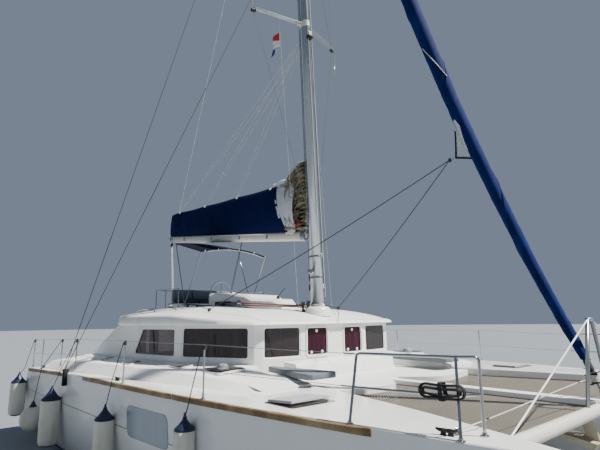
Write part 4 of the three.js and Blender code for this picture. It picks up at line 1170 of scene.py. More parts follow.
def cushion(name, low, high, material):
    """A crowned cushion with pulled-in sides and a piped seam round its middle."""
    low, high = Vector(low), Vector(high)
    middle, half = (low + high) / 2, (high - low) / 2
    thin = min(range(3), key=lambda k: half[k])
    wide = [k for k in range(3) if k != thin]
    shape = Shape()
    n = 16
    grid = {}
    points = []

    def at(u, v, sign):
        edge = max(abs(u), abs(v))
        crown = (1 - abs(u) ** 6) * (1 - abs(v) ** 6)
        pull = 1 - 0.05 * (1 - abs(u) ** 2) * (abs(v) > 0.99) - 0.05 * (1 - abs(v) ** 2) * (abs(u) > 0.99)
        p = middle.copy()
        p[wide[0]] += half[wide[0]] * u * pull
        p[wide[1]] += half[wide[1]] * v * pull
        swell = 0.55 + 0.45 * crown ** 0.5 if edge < 1 else 0.0
        p[thin] += sign * half[thin] * swell
        return p
    faces = []
    for sign in (1, -1):
        for i in range(n + 1):
            for j in range(n + 1):
                u, v = (sin(pi / 2 * (2 * k / n - 1)) for k in (i, j))
                rim = i in (0, n) or j in (0, n)
                key = (i, j, 0 if rim else sign)
                if key not in grid:
                    grid[key] = len(points)
                    points.append(at(u, v, sign))
        for i in range(n):
            for j in range(n):
                corners = [(i, j), (i + 1, j), (i + 1, j + 1), (i, j + 1)]
                faces.append([grid[(a, b, 0 if a in (0, n) or b in (0, n) else sign)] for a, b in corners])
    shape.add(points, faces)
    rim_line = [grid[(i, 0, 0)] for i in range(n)] + [grid[(n, j, 0)] for j in range(n)]
    rim_line += [grid[(n - i, n, 0)] for i in range(n)] + [grid[(0, n - j, 0)] for j in range(n)]
    shape.tube([points[k] for k in rim_line], 0.004, 6, closed=True)
    return piece(name, shape, material, angle=60)


def guard_rail():
    """The bent tube round the flybridge, on its posts."""
    low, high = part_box("flybridge_rail")
    shape = Shape()
    z = high.z - 0.016
    fore, aft, half = high.x - 0.014, low.x + 0.016, high.y - 0.016
    ends = [[(fore, y, top(fore, y, "roof") - 0.005), (fore, y, z - 0.08), (fore - 0.02, y, z - 0.02)]
            for y in (-half, half)]
    shape.tube([*ends[0], (aft + 0.25, -half, z), (aft + 0.04, -half + 0.04, z), (aft, -half + 0.25, z),
                (aft, half - 0.25, z), (aft + 0.04, half - 0.04, z), (aft + 0.25, half, z),
                *reversed(ends[1])], 0.0145, 10)
    for x, y in ((-3.7, half), (-3.7, -half), (aft, 0.45), (aft, -0.45), (aft + 0.04, half - 0.04),
                 (aft + 0.04, 0.04 - half)):
        shape.rod((x, y, top(x, y, "roof") - 0.005), (x, y, z), THIN_RAIL, 10)
    piece("guard_rail", shape, "stainless", stands_for=("flybridge_rail",))


def winch(name, x, y, node):
    """A self-tailing winch: a waisted drum on its base, with a toothed jaw and a cap."""
    base = top(x, y, node) - 0.004
    shape = Shape()
    profile = [(0.085, 0), (0.085, 0.014), (0.07, 0.03), (0.058, 0.05), (0.05, 0.075), (0.05, 0.11),
               (0.058, 0.125), (0.068, 0.132), (0.068, 0.138), (0.045, 0.142), (0.068, 0.146), (0.068, 0.153),
               (0.045, 0.16), (0.03, 0.166), (NEAR, 0.168)]
    shape.lathe(profile, (x, y, base), sides=32)
    piece(name, shape, "stainless")


# Bimini
# Its ends, half its width, its height at both ends, and how far its middle stands above its sides there
BIMINI = {"fore": -2.45, "aft": -3.9, "half": 1.05, "z_fore": 4.46, "z_aft": 4.85, "crown": (0.15, 0.06)}


def bimini_z(x, y):
    """The height of the bimini's cloth at a place."""
    t = (x - BIMINI["fore"]) / (BIMINI["aft"] - BIMINI["fore"])
    a, b = BIMINI["crown"]
    s = y / BIMINI["half"]
    return BIMINI["z_fore"] + t * (BIMINI["z_aft"] - BIMINI["z_fore"]) + (a + t * (b - a)) * (1 - s * s)


class YACHT_OT_bimini(bpy.types.Operator):
    """Build the bimini over the helm, sagging between the bows of its frame"""
    bl_idname = "yacht.bimini"
    bl_label = "Bimini"

    def execute(self, context):
        dress("bimini_frame", "stainless", 0.0)
        rows = []
        for t in shares(24):
            x = BIMINI["fore"] + t * (BIMINI["aft"] - BIMINI["fore"])
            row = []
            for share in shares(28):
                s = 2 * share - 1
                sag = 0.022 * sin(pi * t) * (1 - s ** 4)
                row.append((x, s * BIMINI["half"], bimini_z(x, s * BIMINI["half"]) - 0.006 - sag))
            rows.append(row)
        made = piece("bimini_canopy", Shape().grid(rows), "black_canvas", thick=0.004,
                     stands_for=("bimini",), angle=60)
        hems = Shape()
        for edge in (rows[0], rows[-1]):
            hems.tube(edge, 0.009, 6)
        for k in (0, -1):
            hems.tube([row[k] for row in rows], 0.009, 6)
        piece("bimini_hems", hems, "black_canvas")
        ties = Shape()
        for y in (-0.95, -0.55, 0.1, 0.6, 0.98):
            z = bimini_z(BIMINI["fore"], y)
            ring = [(BIMINI["fore"] + 0.006 + 0.024 * cos(a), y, z - 0.012 + 0.024 * sin(a))
                    for a in turns(14)]
            ties.tube(ring, 0.007, 6, closed=True)
        piece("bimini_ties", ties, "white_rope")
        return {"FINISHED"}


# Between the bows
class YACHT_OT_bows(bpy.types.Operator):
    """Finish the beam, its striker, the anchor and the shrouds, and build the nets with their lacing"""
    bl_idname = "yacht.bows"
    bl_label = "Bows"

    def execute(self, context):
        dress("crossbeam", "boom_paint", 0.02, 3)
        dress("gull_striker", "spar_alloy", 0.0)
        stays = Shape()
        for side in (1, -1):
            stays.rod((5.86, side * 0.1, 2.69), (5.86, side * 2.58, 1.638), 0.0105, 12)
        piece("striker_stays", stays, "white_plastic")
        dress("anchor", "galvanised", 0.006)
        for name, side in SIDES.items():
            net(name, side)
            dress(f"shrouds_{name}", "covered_wire", 0.0)
        return {"FINISHED"}


# How far apart the lacing's loops are, how far out they reach, and the radius of their cord
LACING, LOOP_OUT, LACE_R = 0.21, 0.06, 0.0065


def net(name, side):
    """Netting stretched between the deck, the beams and the hull, with a border and lacing."""
    node = f"net_{name}"
    mesh = NODES[node].data
    high = max(v.co.z for v in mesh.vertices)
    faces, points, index = [], [], {}
    for face in mesh.polygons:
        if all(mesh.vertices[i].co.z > high - 0.001 for i in face.vertices):
            corners = []
            for i in face.vertices:
                co = mesh.vertices[i].co
                key = (round(co.x, 4), round(co.y, 4))
                if key not in index:
                    index[key] = len(points)
                    points.append((co.x, co.y, high - 0.006))
                corners.append(index[key])
            faces.append(corners)
    shape = Shape().add(points, faces)
    work = bmesh.new()
    for p in points:
        work.verts.new(p)
    work.verts.ensure_lookup_table()
    for corners in faces:
        work.faces.new([work.verts[i] for i in corners])
    rim = [e for e in work.edges if e.is_boundary]
    border = Shape()
    for e in rim:
        border.rod(e.verts[0].co, e.verts[1].co, 0.012, 8)
    area = sum(f.calc_area() for f in work.faces)
    loops = Shape()
    middle = Vector((4.2, side * 1.2, 0))
    random.seed(7 if side > 0 else 8)
    for e in rim:
        a, b = e.verts[0].co.copy(), e.verts[1].co.copy()
        count = int((b - a).length / LACING)
        for k in range(count):
            p = a.lerp(b, (k + 0.5) / count)
            out = p - middle
            out.z = 0
            out.normalize()
            q = p + out * LOOP_OUT + Vector((0, 0, random.uniform(0.0, 0.02)))
            loops.rod(p, q, LACE_R, 6)
    work.free()
    made = piece(f"netting_{name}", shape, "net_cord", stands_for=(node,), angle=180)
    piece(f"net_border_{name}", border, "net_border")
    piece(f"net_lacing_{name}", loops, "white_rope")


# Rails
# Each pulpit's feet and bends (along and out), and the heights of its two rails
PULPIT = {
    "feet": ((4.64, 3.425), (5.74, 3.222), (5.79, 2.9)),
    "tops": ((4.58, 3.22), (5.62, 3.01), (5.78, 2.88)),
    "top": 2.39,
    "middle": 2.06,
}
# Where each stanchion stands along the boat, and how far inside the deck's edge
STANCHIONS = ((2.32, 0.02), (-0.13, 0.03), (-3.38, 0.26), (-4.45, 0.26), (-5.3, 0.06), (-6.1, 0.06))
POST_HIGH = 0.69
# Where each wire meets the pulpit, by its height above the deck
WIRE_ENDS = {POST_HIGH: (4.555, 3.222, 2.385), 0.35: (4.582, 3.306, 2.06)}


class YACHT_OT_rails(bpy.types.Operator):
    """Build the pulpits, stanchions, lifelines and the hank of rope"""
    bl_idname = "yacht.rails"
    bl_label = "Rails"

    def execute(self, context):
        sizes = context.scene.yacht_sizes
        for name, side in SIDES.items():
            pulpit(name, side, sizes)
            lifelines(name, side, sizes)
        bow_rope()
        return {"FINISHED"}


def pulpit(name, side, sizes):
    """The bent rail at a bow, its middle rail and its feet."""
    node = f"hull_{name}"
    shape = Shape()
    feet = [Vector((x, side * y, top(x, side * y, node) - 0.003)) for x, y in PULPIT["feet"]]
    tops = [Vector((x, side * y, PULPIT["top"])) for x, y in PULPIT["tops"]]

    def corner(a, b, c, back=0.05, steps=6):
        start, end = b + (a - b).normalized() * back, b + (c - b).normalized() * back
        return [(1 - t) ** 2 * start + 2 * t * (1 - t) * b + t * t * end for t in shares(steps)]
    path = [feet[0], *corner(feet[0], tops[0], tops[1]), *corner(tops[0], tops[1], tops[2], 0.03),
            *corner(tops[1], tops[2], feet[2], 0.05), feet[2]]
    shape.tube(path, sizes.rail, 12)
    shape.rod(feet[1], tops[1], sizes.rail * 0.95, 12)
    middles = [foot.lerp(head, (PULPIT["middle"] - foot.z) / (head.z - foot.z))
               for foot, head in zip(feet, tops)]
    for a, b in zip(middles, middles[1:]):
        shape.rod(a, b, THIN_RAIL, 10)
    for foot in feet:
        shape.lathe([(0.042, 0), (0.042, 0.006), (0.024, 0.012), (0.022, 0.03), (NEAR, 0.031)], foot)
    piece(f"bow_rail_{name}", shape, "stainless", stands_for=(f"pulpit_{name}",))


def lifelines(name, side, sizes):
    """Stanchions on their feet, and two wires that sag between them."""
    nodes = (f"hull_{name}", f"side_deck_{name}")
    posts, wires = Shape(), Shape()
    heads = []
    for x, inset in STANCHIONS:
        y, z = rail_line(x, name, side)
        y -= side * inset
        ground = top(x, y, *nodes)
        posts.rod((x, y, ground - 0.003), (x, y, z + POST_HIGH), sizes.stanchion, 12)
        posts.lathe([(0.035, 0), (0.035, 0.006), (0.019, 0.014), (0.018, 0.07), (NEAR, 0.071)],
                    (x, y, ground - 0.001))
        posts.lathe([(0.0125, 0), (0.016, 0.006), (0.015, 0.013), (NEAR, 0.016)], (x, y, z + 0.688),
                    sides=12)
        heads.append((x, y, z))
    for rise, end in WIRE_ENDS.items():
        line = [Vector((end[0], side * end[1], end[2]))] + [Vector((x, y, z + rise)) for x, y, z in heads]
        for a, b in zip(line, line[1:]):
            wires.tube([a, a.lerp(b, 0.5) - Vector((0, 0, 0.004)), b], sizes.wire, 6)
        first = line[0].lerp(line[1], 0.06)
        wires.tube([line[0], first], 0.008, 8)
    piece(f"stanchions_{name}", posts, "stainless", stands_for=(f"lifelines_{name}",))
    piece(f"wires_{name}", wires, "wire_steel")


class YACHT_OT_fittings(bpy.types.Operator):
    """Build the cleats, the lines on the roof and the furling line"""
    bl_idname = "yacht.fittings"
    bl_label = "Deck fittings"

    def execute(self, context):
        cleats, roof_gear = Shape(), Shape()
        for name, side in SIDES.items():
            nodes = (f"hull_{name}", f"side_deck_{name}")
            for x, y, turn in ((5.55, 3.13, 0.19), (-0.62, 3.72, 0.0), (-5.62, 3.66, 0.0)):
                cleat(cleats, Vector((x, side * y, top(x, side * y, *nodes))), -side * turn)
        piece("cleats", cleats, "black_rubber", bevel=0.002)
        roof_lines(roof_gear)
        piece("roof_clutches", roof_gear, "black_rubber", bevel=0.004)
        furling_line()
        return {"FINISHED"}


def cleat(shape, at, turn):
    """A horned cleat on two feet."""
    along = Vector((cos(turn), sin(turn), 0))
    for s in (-0.035, 0.035):
        shape.lathe([(0.028, -0.003), (0.026, 0.012), (0.02, 0.03), (NEAR, 0.04)],
                    at + along * s, sides=12)
    horn = [at + along * s + Vector((0, 0, z)) for s, z in ((-0.105, 0.05), (-0.075, 0.042), (-0.035, 0.038),
                                                          (0.035, 0.038), (0.075, 0.042), (0.105, 0.05))]
    shape.tube(curve(horn, 4), [0.01 + 0.01 * sin(pi * k / 20) for k in range(21)], 10)


def roof_lines(gear):
    """Halyards led aft from the mast's foot along both sides of the pod, through their clutches."""
    for k, rope_name in enumerate(("black_rope", "red_rope", "white_rope", "black_rope")):
        paths = []
        for side in (1, -1):
            paths.append([(0.45, side * (0.25 + 0.03 * k), 3.035 - 0.012 * k),
                          (-1.76, side * (0.69 + 0.035 * k), 3.16 - 0.018 * k)])
        lines(f"roof_lines_{k + 1}", paths, 0.009, rope_name)
    for side in (1, -1):
        y0, y1 = sorted((side * 0.6, side * 0.86))
        z = top(-1.9, side * 0.8, "roof")
        gear.box((-2.06, y0, z - 0.01), (-1.76, y1, 3.185))
        y0, y1 = sorted((side * 0.94, side * 1.2))
        z = top(-0.95, side * 1.07, "roof")
        gear.box((-1.0, y0, z - 0.02), (-0.88, y1, z + 0.012))
    x, y = -0.72, 0.05
    z = top(x, y, "helm_pod") - 0.003
    gear.lathe([(0.05, 0), (0.045, 0.02), (0.035, 0.05), (0.045, 0.07), (NEAR, 0.075)], (x, y, z))
    gear.tube([(x + 0.01, y, z + 0.07), (x + 0.27, y, z + 0.26)], 0.012, 8)
    for side in (1, -1):
        gear.rod((-3.5, side * 0.92, 3.17), (-2.1, side * 0.92, 3.08), 0.016, 10)
        for x in (-3.3, -2.8, -2.3):
            z = 3.08 + 0.09 * (-2.1 - x) / 1.4
            gear.rod((x, side * 0.92, top(x, side * 0.92, "roof") - 0.004), (x, side * 0.92, z), 0.03, 12)


def furling_line():
    """The line from the drum, out along the net's edge and the crossbeam to the starboard bow."""
    path = [(stay_x(1.95), -0.06, 1.95), (5.76, -0.35, 1.93), (5.648, -2.552, 1.78), (5.585, -3.0, 1.742)]
    lines("furling_line", [path], 0.006, "white_rope")
    lead = Shape().lathe([(0.03, -0.016), (0.02, 0), (0.03, 0.016)], path[3], (1, 0.2, 0))
    lead.box((5.56, -3.02, 1.708), (5.61, -2.98, 1.735))
    lead.lathe([(NEAR, -0.03), (0.012, -0.02), (0.014, 0), (0.012, 0.02), (NEAR, 0.03)],
               path[2], (0, 1, 0), 12)
    piece("furling_lead", lead, "stainless")


# The hank on the starboard pulpit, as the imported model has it: the rope's diameter and turns, the
# length of its runs, the radius of its folds, and where the hank lies along the middle rail
HANK = {"rope": 0.02, "turns": 4, "run": 0.3, "fold": 0.06, "along": 0.753, "z": 2.1, "out": 0.0123,
        "splay": radians(2.2)}


def bow_rope():
    """A hank of black rope, folded to and fro on the outside of the middle rail, and its tie."""
    ends = [Vector(((PULPIT["feet"][i][0] + PULPIT["tops"][i][0]) / 2,
                    -(PULPIT["feet"][i][1] + PULPIT["tops"][i][1]) / 2, PULPIT["middle"])) for i in (0, 1)]
    rail = (ends[1] - ends[0]).normalized()
    along = Matrix.Rotation(-HANK["splay"], 3, "Z") @ rail
    out = Vector((along.y, -along.x, 0))
    start = ends[0] + rail * HANK["along"] + Vector((rail.y, -rail.x, 0)) * HANK["out"]
    start.z = HANK["z"]
    r, half, d = HANK["fold"], HANK["run"] / 2, HANK["rope"]
    lap = 2 * HANK["run"] + tau * r
    steps = 40
    random.seed(21)
    drift = [random.uniform(-0.2, 0.2) for _ in range(HANK["turns"] * 2 + 2)]

    def at(gone):
        """A point of the hank's centreline, so far along the rope."""
        turn, part = divmod(gone, lap)
        fold = pi * r
        ends_at = 1.0 - 0.55 * (turn % 2)
        before = 1.0 - 0.55 * ((turn + 1) % 2) if turn else 1.0
        size = before + (ends_at - before) * min(part / (2 * half), 1)
        bend = size * r
        if part < 2 * half:
            s, h = -half + part, -bend
        elif part < 2 * half + fold:
            a = (part - 2 * half) / r
            s, h = half + bend * sin(a), -bend * cos(a)
        elif part < 4 * half + fold:
            s, h = half - (part - 2 * half - fold), bend
        else:
            a = (part - 4 * half - fold) / r
            s, h = -half - bend * sin(a), bend * cos(a)
        run = int(2 * gone / lap)
        loose = drift[run] + (drift[run + 1] - drift[run]) * (2 * gone / lap % 1)
        shift = gone / lap * d * (HANK["turns"] - 1) / HANK["turns"] + d / 2
        middle = half + r
        droop = -0.008 * sin(pi * min(max((s + half) / (2 * half), 0), 1)) + 0.006 * loose
        return start + along * (middle + s) + out * (shift + 0.003 * loose) + Vector((0, 0, h + droop))
    whole = lap * HANK["turns"]
    path = [at(whole * 0.9999 * k / (steps * HANK["turns"])) for k in range(steps * HANK["turns"] + 1)]
    rope_piece = piece("bow_hank", Shape().tube(path, d / 2, 12), "black_rope",
                       stands_for=("bow_rope",), angle=60)
    tuple(path[0])
    length_of(path)
    [tuple(p) for p in path]
    tie = Shape()
    width = HANK["turns"] * d
    for k in range(4):
        at_s = 0.2 + 0.011 * k
        near = -0.014 - HANK["out"] - sin(HANK["splay"]) * at_s
        loop = [(near, -0.056), (near - 0.004, -0.03), (near + 0.004, -0.074), (0.3 * width, -0.077),
                (width + 0.006, -0.072), (width + 0.008, 0), (width + 0.006, 0.072), (0.3 * width, 0.077),
                (-0.004, 0.072), (-0.008, 0.02)]
        points = [start + along * (at_s + 0.004 * sin(i)) + out * o + Vector((0, 0, h))
                  for i, (o, h) in enumerate(loop[2:] + loop[:2])]
        tie.tube(curve(points, 4, closed=True), 0.005, 8, closed=True)
    piece("bow_hank_tie", tie, "black_rope")


# Rig
def length_of(line):
    """How long a line of points is."""
    return sum((Vector(b) - Vector(a)).length for a, b in zip(line, line[1:]))


def cloth(name, rows, material, body="boat", stands_for=(), thick=0.003, angle=60):
    """One sheet of cloth from rows of points, as one piece; its width and length are measured and not used."""
    made = piece(name, Shape().grid(rows), material, body, stands_for, thick=thick, angle=angle)
    wide = max(length_of(row) for row in rows)
    long = max(length_of(line) for line in zip(*rows))
    return made


def lines(name, paths, radius, material, body="boat", sides=7):
    """Several taut lines as one piece."""
    shape = Shape()
    for path in paths:
        shape.tube(path, radius, sides)
    return piece(name, shape, material, body)


def slack(a, b, fall, steps=12):
    """A line between two points that falls a little in its middle."""
    a, b = Vector(a), Vector(b)
    return [a.lerp(b, t) - Vector((0, 0, 4 * fall * t * (1 - t))) for t in shares(steps)]


# The mast's length, its half depth and half width at the foot, and the share that each loses to the top
MAST_LONG, MAST_DEPTH, MAST_WIDTH = 17.5, (0.16, 0.2), (0.105, 0.15)


def mast_half(z):
    """The mast's half depth and half width at a height."""
    share = min(max((z - MAST_FOOT.z) / MAST_LONG, 0), 1)
    return tuple(half * (1 - lost * share) for half, lost in (MAST_DEPTH, MAST_WIDTH))


class YACHT_OT_mast(bpy.types.Operator):
    """Finish the mast and add its track, spreaders, light, winches, wires, halyards and flags"""
    bl_idname = "yacht.mast"
    bl_label = "Mast"

    def execute(self, context):
        dress("mast", "spar_alloy", 0.0)
        track = Shape()
        for low, high in ((4.72, 12.0), (12.02, 19.6)):
            ends = []
            for z in (low, high):
                aft = mast_x(z) - mast_half(z)[0]
                ends.append([(aft + 0.006, 0.016, z), (aft - 0.012, 0.016, z), (aft - 0.012, -0.016, z),
                             (aft + 0.006, -0.016, z)])
            track.loft(ends)
        piece("luff_track", track, "black_rubber")
        mast_fittings()
        mast_wires()
        flags()
        return {"FINISHED"}


def mast_collar(shape, z, height, over):
    """A band round the mast."""
    rings = []
    for up, out in ((-height, 0.002), (-height, over), (height, over), (height, 0.002)):
        depth, half = mast_half(z)
        rings.append([(mast_x(z + up) + (depth + out) * cos(a), (half + out) * sin(a), z + up)
                      for a in turns(32)])
    shape.loft(rings)


def spreader_wing(shape, z, side):
    """The flat wing of a spreader round its tube, wider at the mast."""
    root = Vector((mast_x(z) - 0.03, side * 0.1, z + 0.003))
    tip = Vector((mast_x(z) - SPREADERS["sweep"], side * SPREADERS["out"], z + 0.04))
    chord = (tip - root).cross(Vector((0, 0, 1))).normalized()
    rings = []
    for share, wide in ((0, 0.085), (0.5, 0.078), (0.93, 0.066), (0.97, 0.05)):
        middle = root.lerp(tip, share)
        rings.append([middle + chord * (wide * cos(a)) + Vector((0, 0, 0.036 * sin(a)))
                      for a in turns(20)])
    shape.loft(rings)


def mast_fittings():
    """Collars, spreaders, the light, winches, and the bolts and blocks at the mast's foot."""
    pale, dark, steel = Shape(), Shape(), Shape()
    wings = Shape()
    for z in SPREADERS["z"]:
        mast_collar(pale, z, 0.075, 0.012)
        for side in (1, -1):
            spreader_wing(wings, z, side)
            root = Vector((mast_x(z) - 0.02, side * 0.09, z))
            tip = Vector((mast_x(z) - SPREADERS["sweep"], side * SPREADERS["out"], z))
            pale.tube([root, root.lerp(tip, 0.09)], [0.055, 0.042], 14)
            out = (tip - root).normalized()
            dark.tube([tip - out * 0.07, tip - out * 0.02, tip + out * 0.035, tip + out * 0.05],
                      [0.036, 0.046, 0.044, 0.02], 12)
    light = Vector((mast_x(9.46) + mast_half(9.46)[0], 0, 9.46))
    dark.lathe([(0.07, -0.02), (0.075, 0.05), (0.05, 0.09), (NEAR, 0.1)], light, (0.8, 0, -0.6))
    pale.box(light + Vector((-0.02, -0.04, -0.02)), light + Vector((0.05, 0.04, 0.14)))
    for z in (3.62, 4.08):
        mast_collar(steel, z, 0.012, 0.006)
    for z, side in ((3.75, -1), (4.15, 1), (3.45, 1)):
        steel.lathe([(0.06, -0.01), (0.06, 0.01), (0.04, 0.03), (0.036, 0.07), (0.046, 0.09), (0.05, 0.1),
                     (0.03, 0.105), (NEAR, 0.11)], (mast_x(z), side * mast_half(z)[1], z), (0, side, 0))
    for i in range(6):
        z = 3.35 + 0.02 * i
        lift = 0.2 * (i % 2)
        dark.box((mast_x(z) - 0.215, -0.03, z + lift), (mast_x(z) - 0.155, 0.03, z + 0.05 + lift))
    foot = mast_x(3.0)
    for turn in turns(10):
        a = turn + 0.3
        steel.lathe([(0.012, 0), (0.012, 0.01), (NEAR, 0.014)],
                    (foot + 0.21 * cos(a), 0.18 * sin(a), 2.997), sides=8)
    mast_collar(pale, 3.03, 0.03, 0.02)
    for x, y in ((0.3, -0.22), (0.3, 0.22), (0.42, -0.2)):
        x += foot - 0.5
        dark.lathe([(0.03, 0), (0.03, 0.03), (0.022, 0.06), (NEAR, 0.065)],
                   (x, y, top(x, y, "roof") - 0.002), sides=14)
    piece("mast_pale_fittings", pale, "boom_paint", bevel=0.003)
    piece("spreader_wings", wings, "spar_alloy")
    piece("mast_dark_fittings", dark, "black_rubber", bevel=0.003)
    piece("mast_steel_fittings", steel, "stainless")
    blocks = Shape()
    for x, y, z in ((0.6, -0.21, 3.075), (0.5, -0.27, 3.055), (0.6, 0.21, 3.075), (0.5, 0.27, 3.055)):
        blocks.rod((x, y, top(x, y, "roof", "mast") - 0.004), (x, y, z), 0.022, 12)
        blocks.lathe([(0.05, -0.034), (0.062, -0.022), (0.05, 0), (0.062, 0.022), (0.05, 0.034)],
                     (x, y, z), (-0.5, copysign(0.8, y), 0.2), 28)
    piece("mast_foot_blocks", blocks, "black_rubber")


def mast_wires():
    """Diamond wires over the spreaders' tips, halyards, the topping lift and a coiled spring."""
    wires = []
    tips = [{side: Vector((mast_x(z) - SPREADERS["sweep"], side * SPREADERS["out"], z + 0.03))
             for side in (1, -1)} for z in SPREADERS["z"]]
    for side in (1, -1):
        low = Vector((mast_x(4.9), side * 0.1, 4.9))
        head = Vector((mast_x(HOUNDS_Z - 0.3), side * 0.08, HOUNDS_Z - 0.3))
        wires += [[low, tips[0][side], tips[1][side], head],
                  [tips[0][side], Vector((mast_x(14.5), side * 0.08, 14.5))]]
    lines("diamond_wires", wires, 0.0045, "wire_steel", sides=6)
    falls = []
    for x, y, high, foot in ((0.2, 0.05, 19.9, 3.2), (0.19, -0.05, 19.9, 3.15), (0.12, 0.1, 16.0, 3.3)):
        falls.append([(mast_x(high) + x * 0.85, y, high), (mast_x(foot) + x, y, foot)])
    lines("white_halyards", falls[:2], 0.005, "white_rope", sides=6)
    beside = [(z, *mast_half(z)) for z in (19.9, 3.4)]
    aft = [[(mast_x(z) - 0.72 * depth, y * (0.72 * half + 0.014), z) for z, depth, half in beside]
           for y in (1, -1)]
    aft.append(falls[2])
    lines("dark_halyards", aft, 0.005, "black_rope", sides=6)
    lift = [[(mast_x(20.35) - 0.3, 0.02, 20.35), (BOOM_END.x + 0.12, 0.02, BOOM_END.z + 0.12)]]
    lines("topping_lift", lift, 0.005, "white_rope", "boom", sides=6)
    spring = []
    a, b = Vector((0.16, 1.3, 9.75)), Vector((0.2, 1.22, 9.0))
    for t in shares(96):
        turn = 12 * tau * t
        spring.append(a.lerp(b, t) + 0.022 * Vector((cos(turn), sin(turn), 0)))
    lines("spreader_spring", [spring], 0.004, "stainless", sides=6)


def flags():
    """Two small flags, one banded and one plain, hanging in folds on their halyards."""
    cords, rows_of = [], {}
    for name, x, y, z0, z1, wide, lean in (("striped", 0.16, -0.62, 9.52, 9.14, 0.34, -1),
                                           ("red", 0.24, 0.3, 8.62, 8.1, 0.26, 1)):
        cords.append([(x, y, 9.8), (mast_x(3.3) - 0.05, copysign(0.5, y), 3.0)])
        rows = []
        for t in shares(14):
            row = []
            for s in shares(18):
                fold = 0.035 * sin(7.5 * s + 2.2 * t) * (0.3 + s)
                row.append((x - 0.55 * wide * s, y + 0.25 * wide * s * lean + fold,
                            z0 + (z1 - z0) * t - 0.75 * wide * s * s))
            rows.append(row)
        rows_of[name] = rows
    lines("flag_halyards", cords, 0.002, "white_rope", sides=5)
    for name, rows in rows_of.items():
        material = "striped_cloth" if name == "striped" else "flag_red"
        cloth(f"flag_{name}", rows, material, thick=0.0015)


class YACHT_OT_mainsail(bpy.types.Operator):
    """Build the boom's fittings, the mainsheet, the sail bag and the folded mainsail"""
    bl_idname = "yacht.mainsail"
    bl_label = "Mainsail"

    def execute(self, context):
        dress("boom", "boom_paint", 0.0)
        boom_fittings()
        sail_bag()
        flaked_sail()
        front_panel()
        return {"FINISHED"}


def boom_fittings():
    """The boom's end caps, blocks and bails, the mainsheet and its traveller, and a tackle with its eye."""
    ends, blocks, bands = Shape(), Shape(), Shape()
    for x0, x1, over in ((BOOM_END.x - 0.03, BOOM_END.x + 0.16, 0.006),
                         (GOOSENECK.x - 0.2, GOOSENECK.x - 0.055, 0.005)):
        rings = []
        for x, out in ((x0, -0.02), (x0 + 0.015, over), (x1, over), (x1, -0.004)):
            rings.append([(x, (0.075 + out) * cos(a), boom_z(x) + (0.11 + out) * sin(a))
                          for a in turns(28)])
        ends.loft(rings)
    x = BOOM_END.x + 0.02
    z = boom_z(x)
    blocks.lathe([(0.05, -0.024), (0.05, -0.012), (0.034, 0), (0.05, 0.012), (0.05, 0.024)],
                 (x - 0.01, 0, z - 0.19), (0, 1, 0), 20)
    blocks.box((x - 0.03, -0.014, z - 0.17), (x + 0.012, 0.014, z - 0.1))
    for y0, y1 in ((-0.03, -0.024), (0.024, 0.03)):
        blocks.box((x - 0.045, y0, z - 0.235), (x + 0.03, y1, z - 0.14))
    for x in (-5.2, -3.6, -2.19, -1.0):
        z = boom_z(x)
        for y0, y1 in ((-0.084, -0.07), (0.07, 0.084)):
            bands.box((x - 0.03, y0, z - 0.05), (x + 0.03, y1, z + 0.05))
        bands.lathe([(0.012, 0), (0.012, 0.03), (NEAR, 0.032)], (x, 0, z - 0.135), sides=10)
    piece("boom_ends", ends, "spar_alloy", "boom", bevel=0.003)
    piece("boom_blocks", blocks, "black_rubber", "boom", bevel=0.003)
    piece("boom_bails", bands, "stainless", "boom", bevel=0.002)
    low = Vector((-5.68, 0, 1.42))
    high = Vector((BOOM_END.x + 0.02, 0, boom_z(BOOM_END.x + 0.02) - 0.2))
    parts = [[low + Vector((0.03 * k, 0.02 * k, 0)), high + Vector((0.03 * k, 0, 0))] for k in (-1, 0, 1)]
    sheet = lines("mainsheet", parts, 0.006, "white_rope", None)
    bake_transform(sheet)
    foot, head = Vector((-2.69, 0, 3.425)), Vector((-2.19, 0, boom_z(-2.19) - 0.12))
    beside = [foot + Vector((0.02, 0.02, 0)), head + Vector((0.03, 0, 0))]
    strop = lines("boom_tackle", [[foot, head], beside], 0.006, "black_rope", None)
    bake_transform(strop)
    track = Shape()
    track.box((-5.735, -1.3, 1.299), (-5.69, 1.3, 1.33))
    track.box((-5.74, -0.09, 1.33), (-5.685, 0.09, 1.36))
    track.lathe([(0.045, -0.02), (0.03, 0), (0.045, 0.02)], (-5.69, 0, 1.4), (0, 1, 0))
    piece("traveller", track, "black_rubber", bevel=0.003)
    pad = Shape().lathe([(0.05, -0.02), (0.05, 0.004), (0.02, 0.008), (0.014, 0.03), (NEAR, 0.032)],
                        (-2.69, 0, 3.42))
    piece("tackle_eye", pad, "stainless")


# Sail bag sections: x, height of its top above the boom's middle, half-width
BAG = ((-6.2, 0.83, 0.05), (-5.9, 0.87, 0.09), (-5.0, 0.93, 0.12), (-4.0, 1.0, 0.14), (-3.0, 1.08, 0.155),
       (-2.0, 1.16, 0.17), (-1.2, 1.22, 0.18), (-0.6, 1.275, 0.19), (-0.2, 1.29, 0.2))
# How far the bag's foot lies above the boom's middle, and where its aft end is
BAG_FOOT = 0.095
BAG_AFT = BAG[0][0]
# The bag's front edge: how far forward its foot lies, and how far its top lies aft of that
BAG_FORE, BAG_LEAN = -0.2, 0.5
# The bag's outline: share of its height, share of its half-width
BAG_SIDE = ((0, 0.42), (0.06, 0.62), (0.16, 0.86), (0.34, 1.0), (0.55, 0.93), (0.75, 0.68), (0.9, 0.36),
            (0.97, 0.14), (1, 0.02))
# Where the clips sit along the bag's top; the lazy jacks hold all but the foremost
CLIPS = (-5.67, -4.11, -2.43, -0.95)


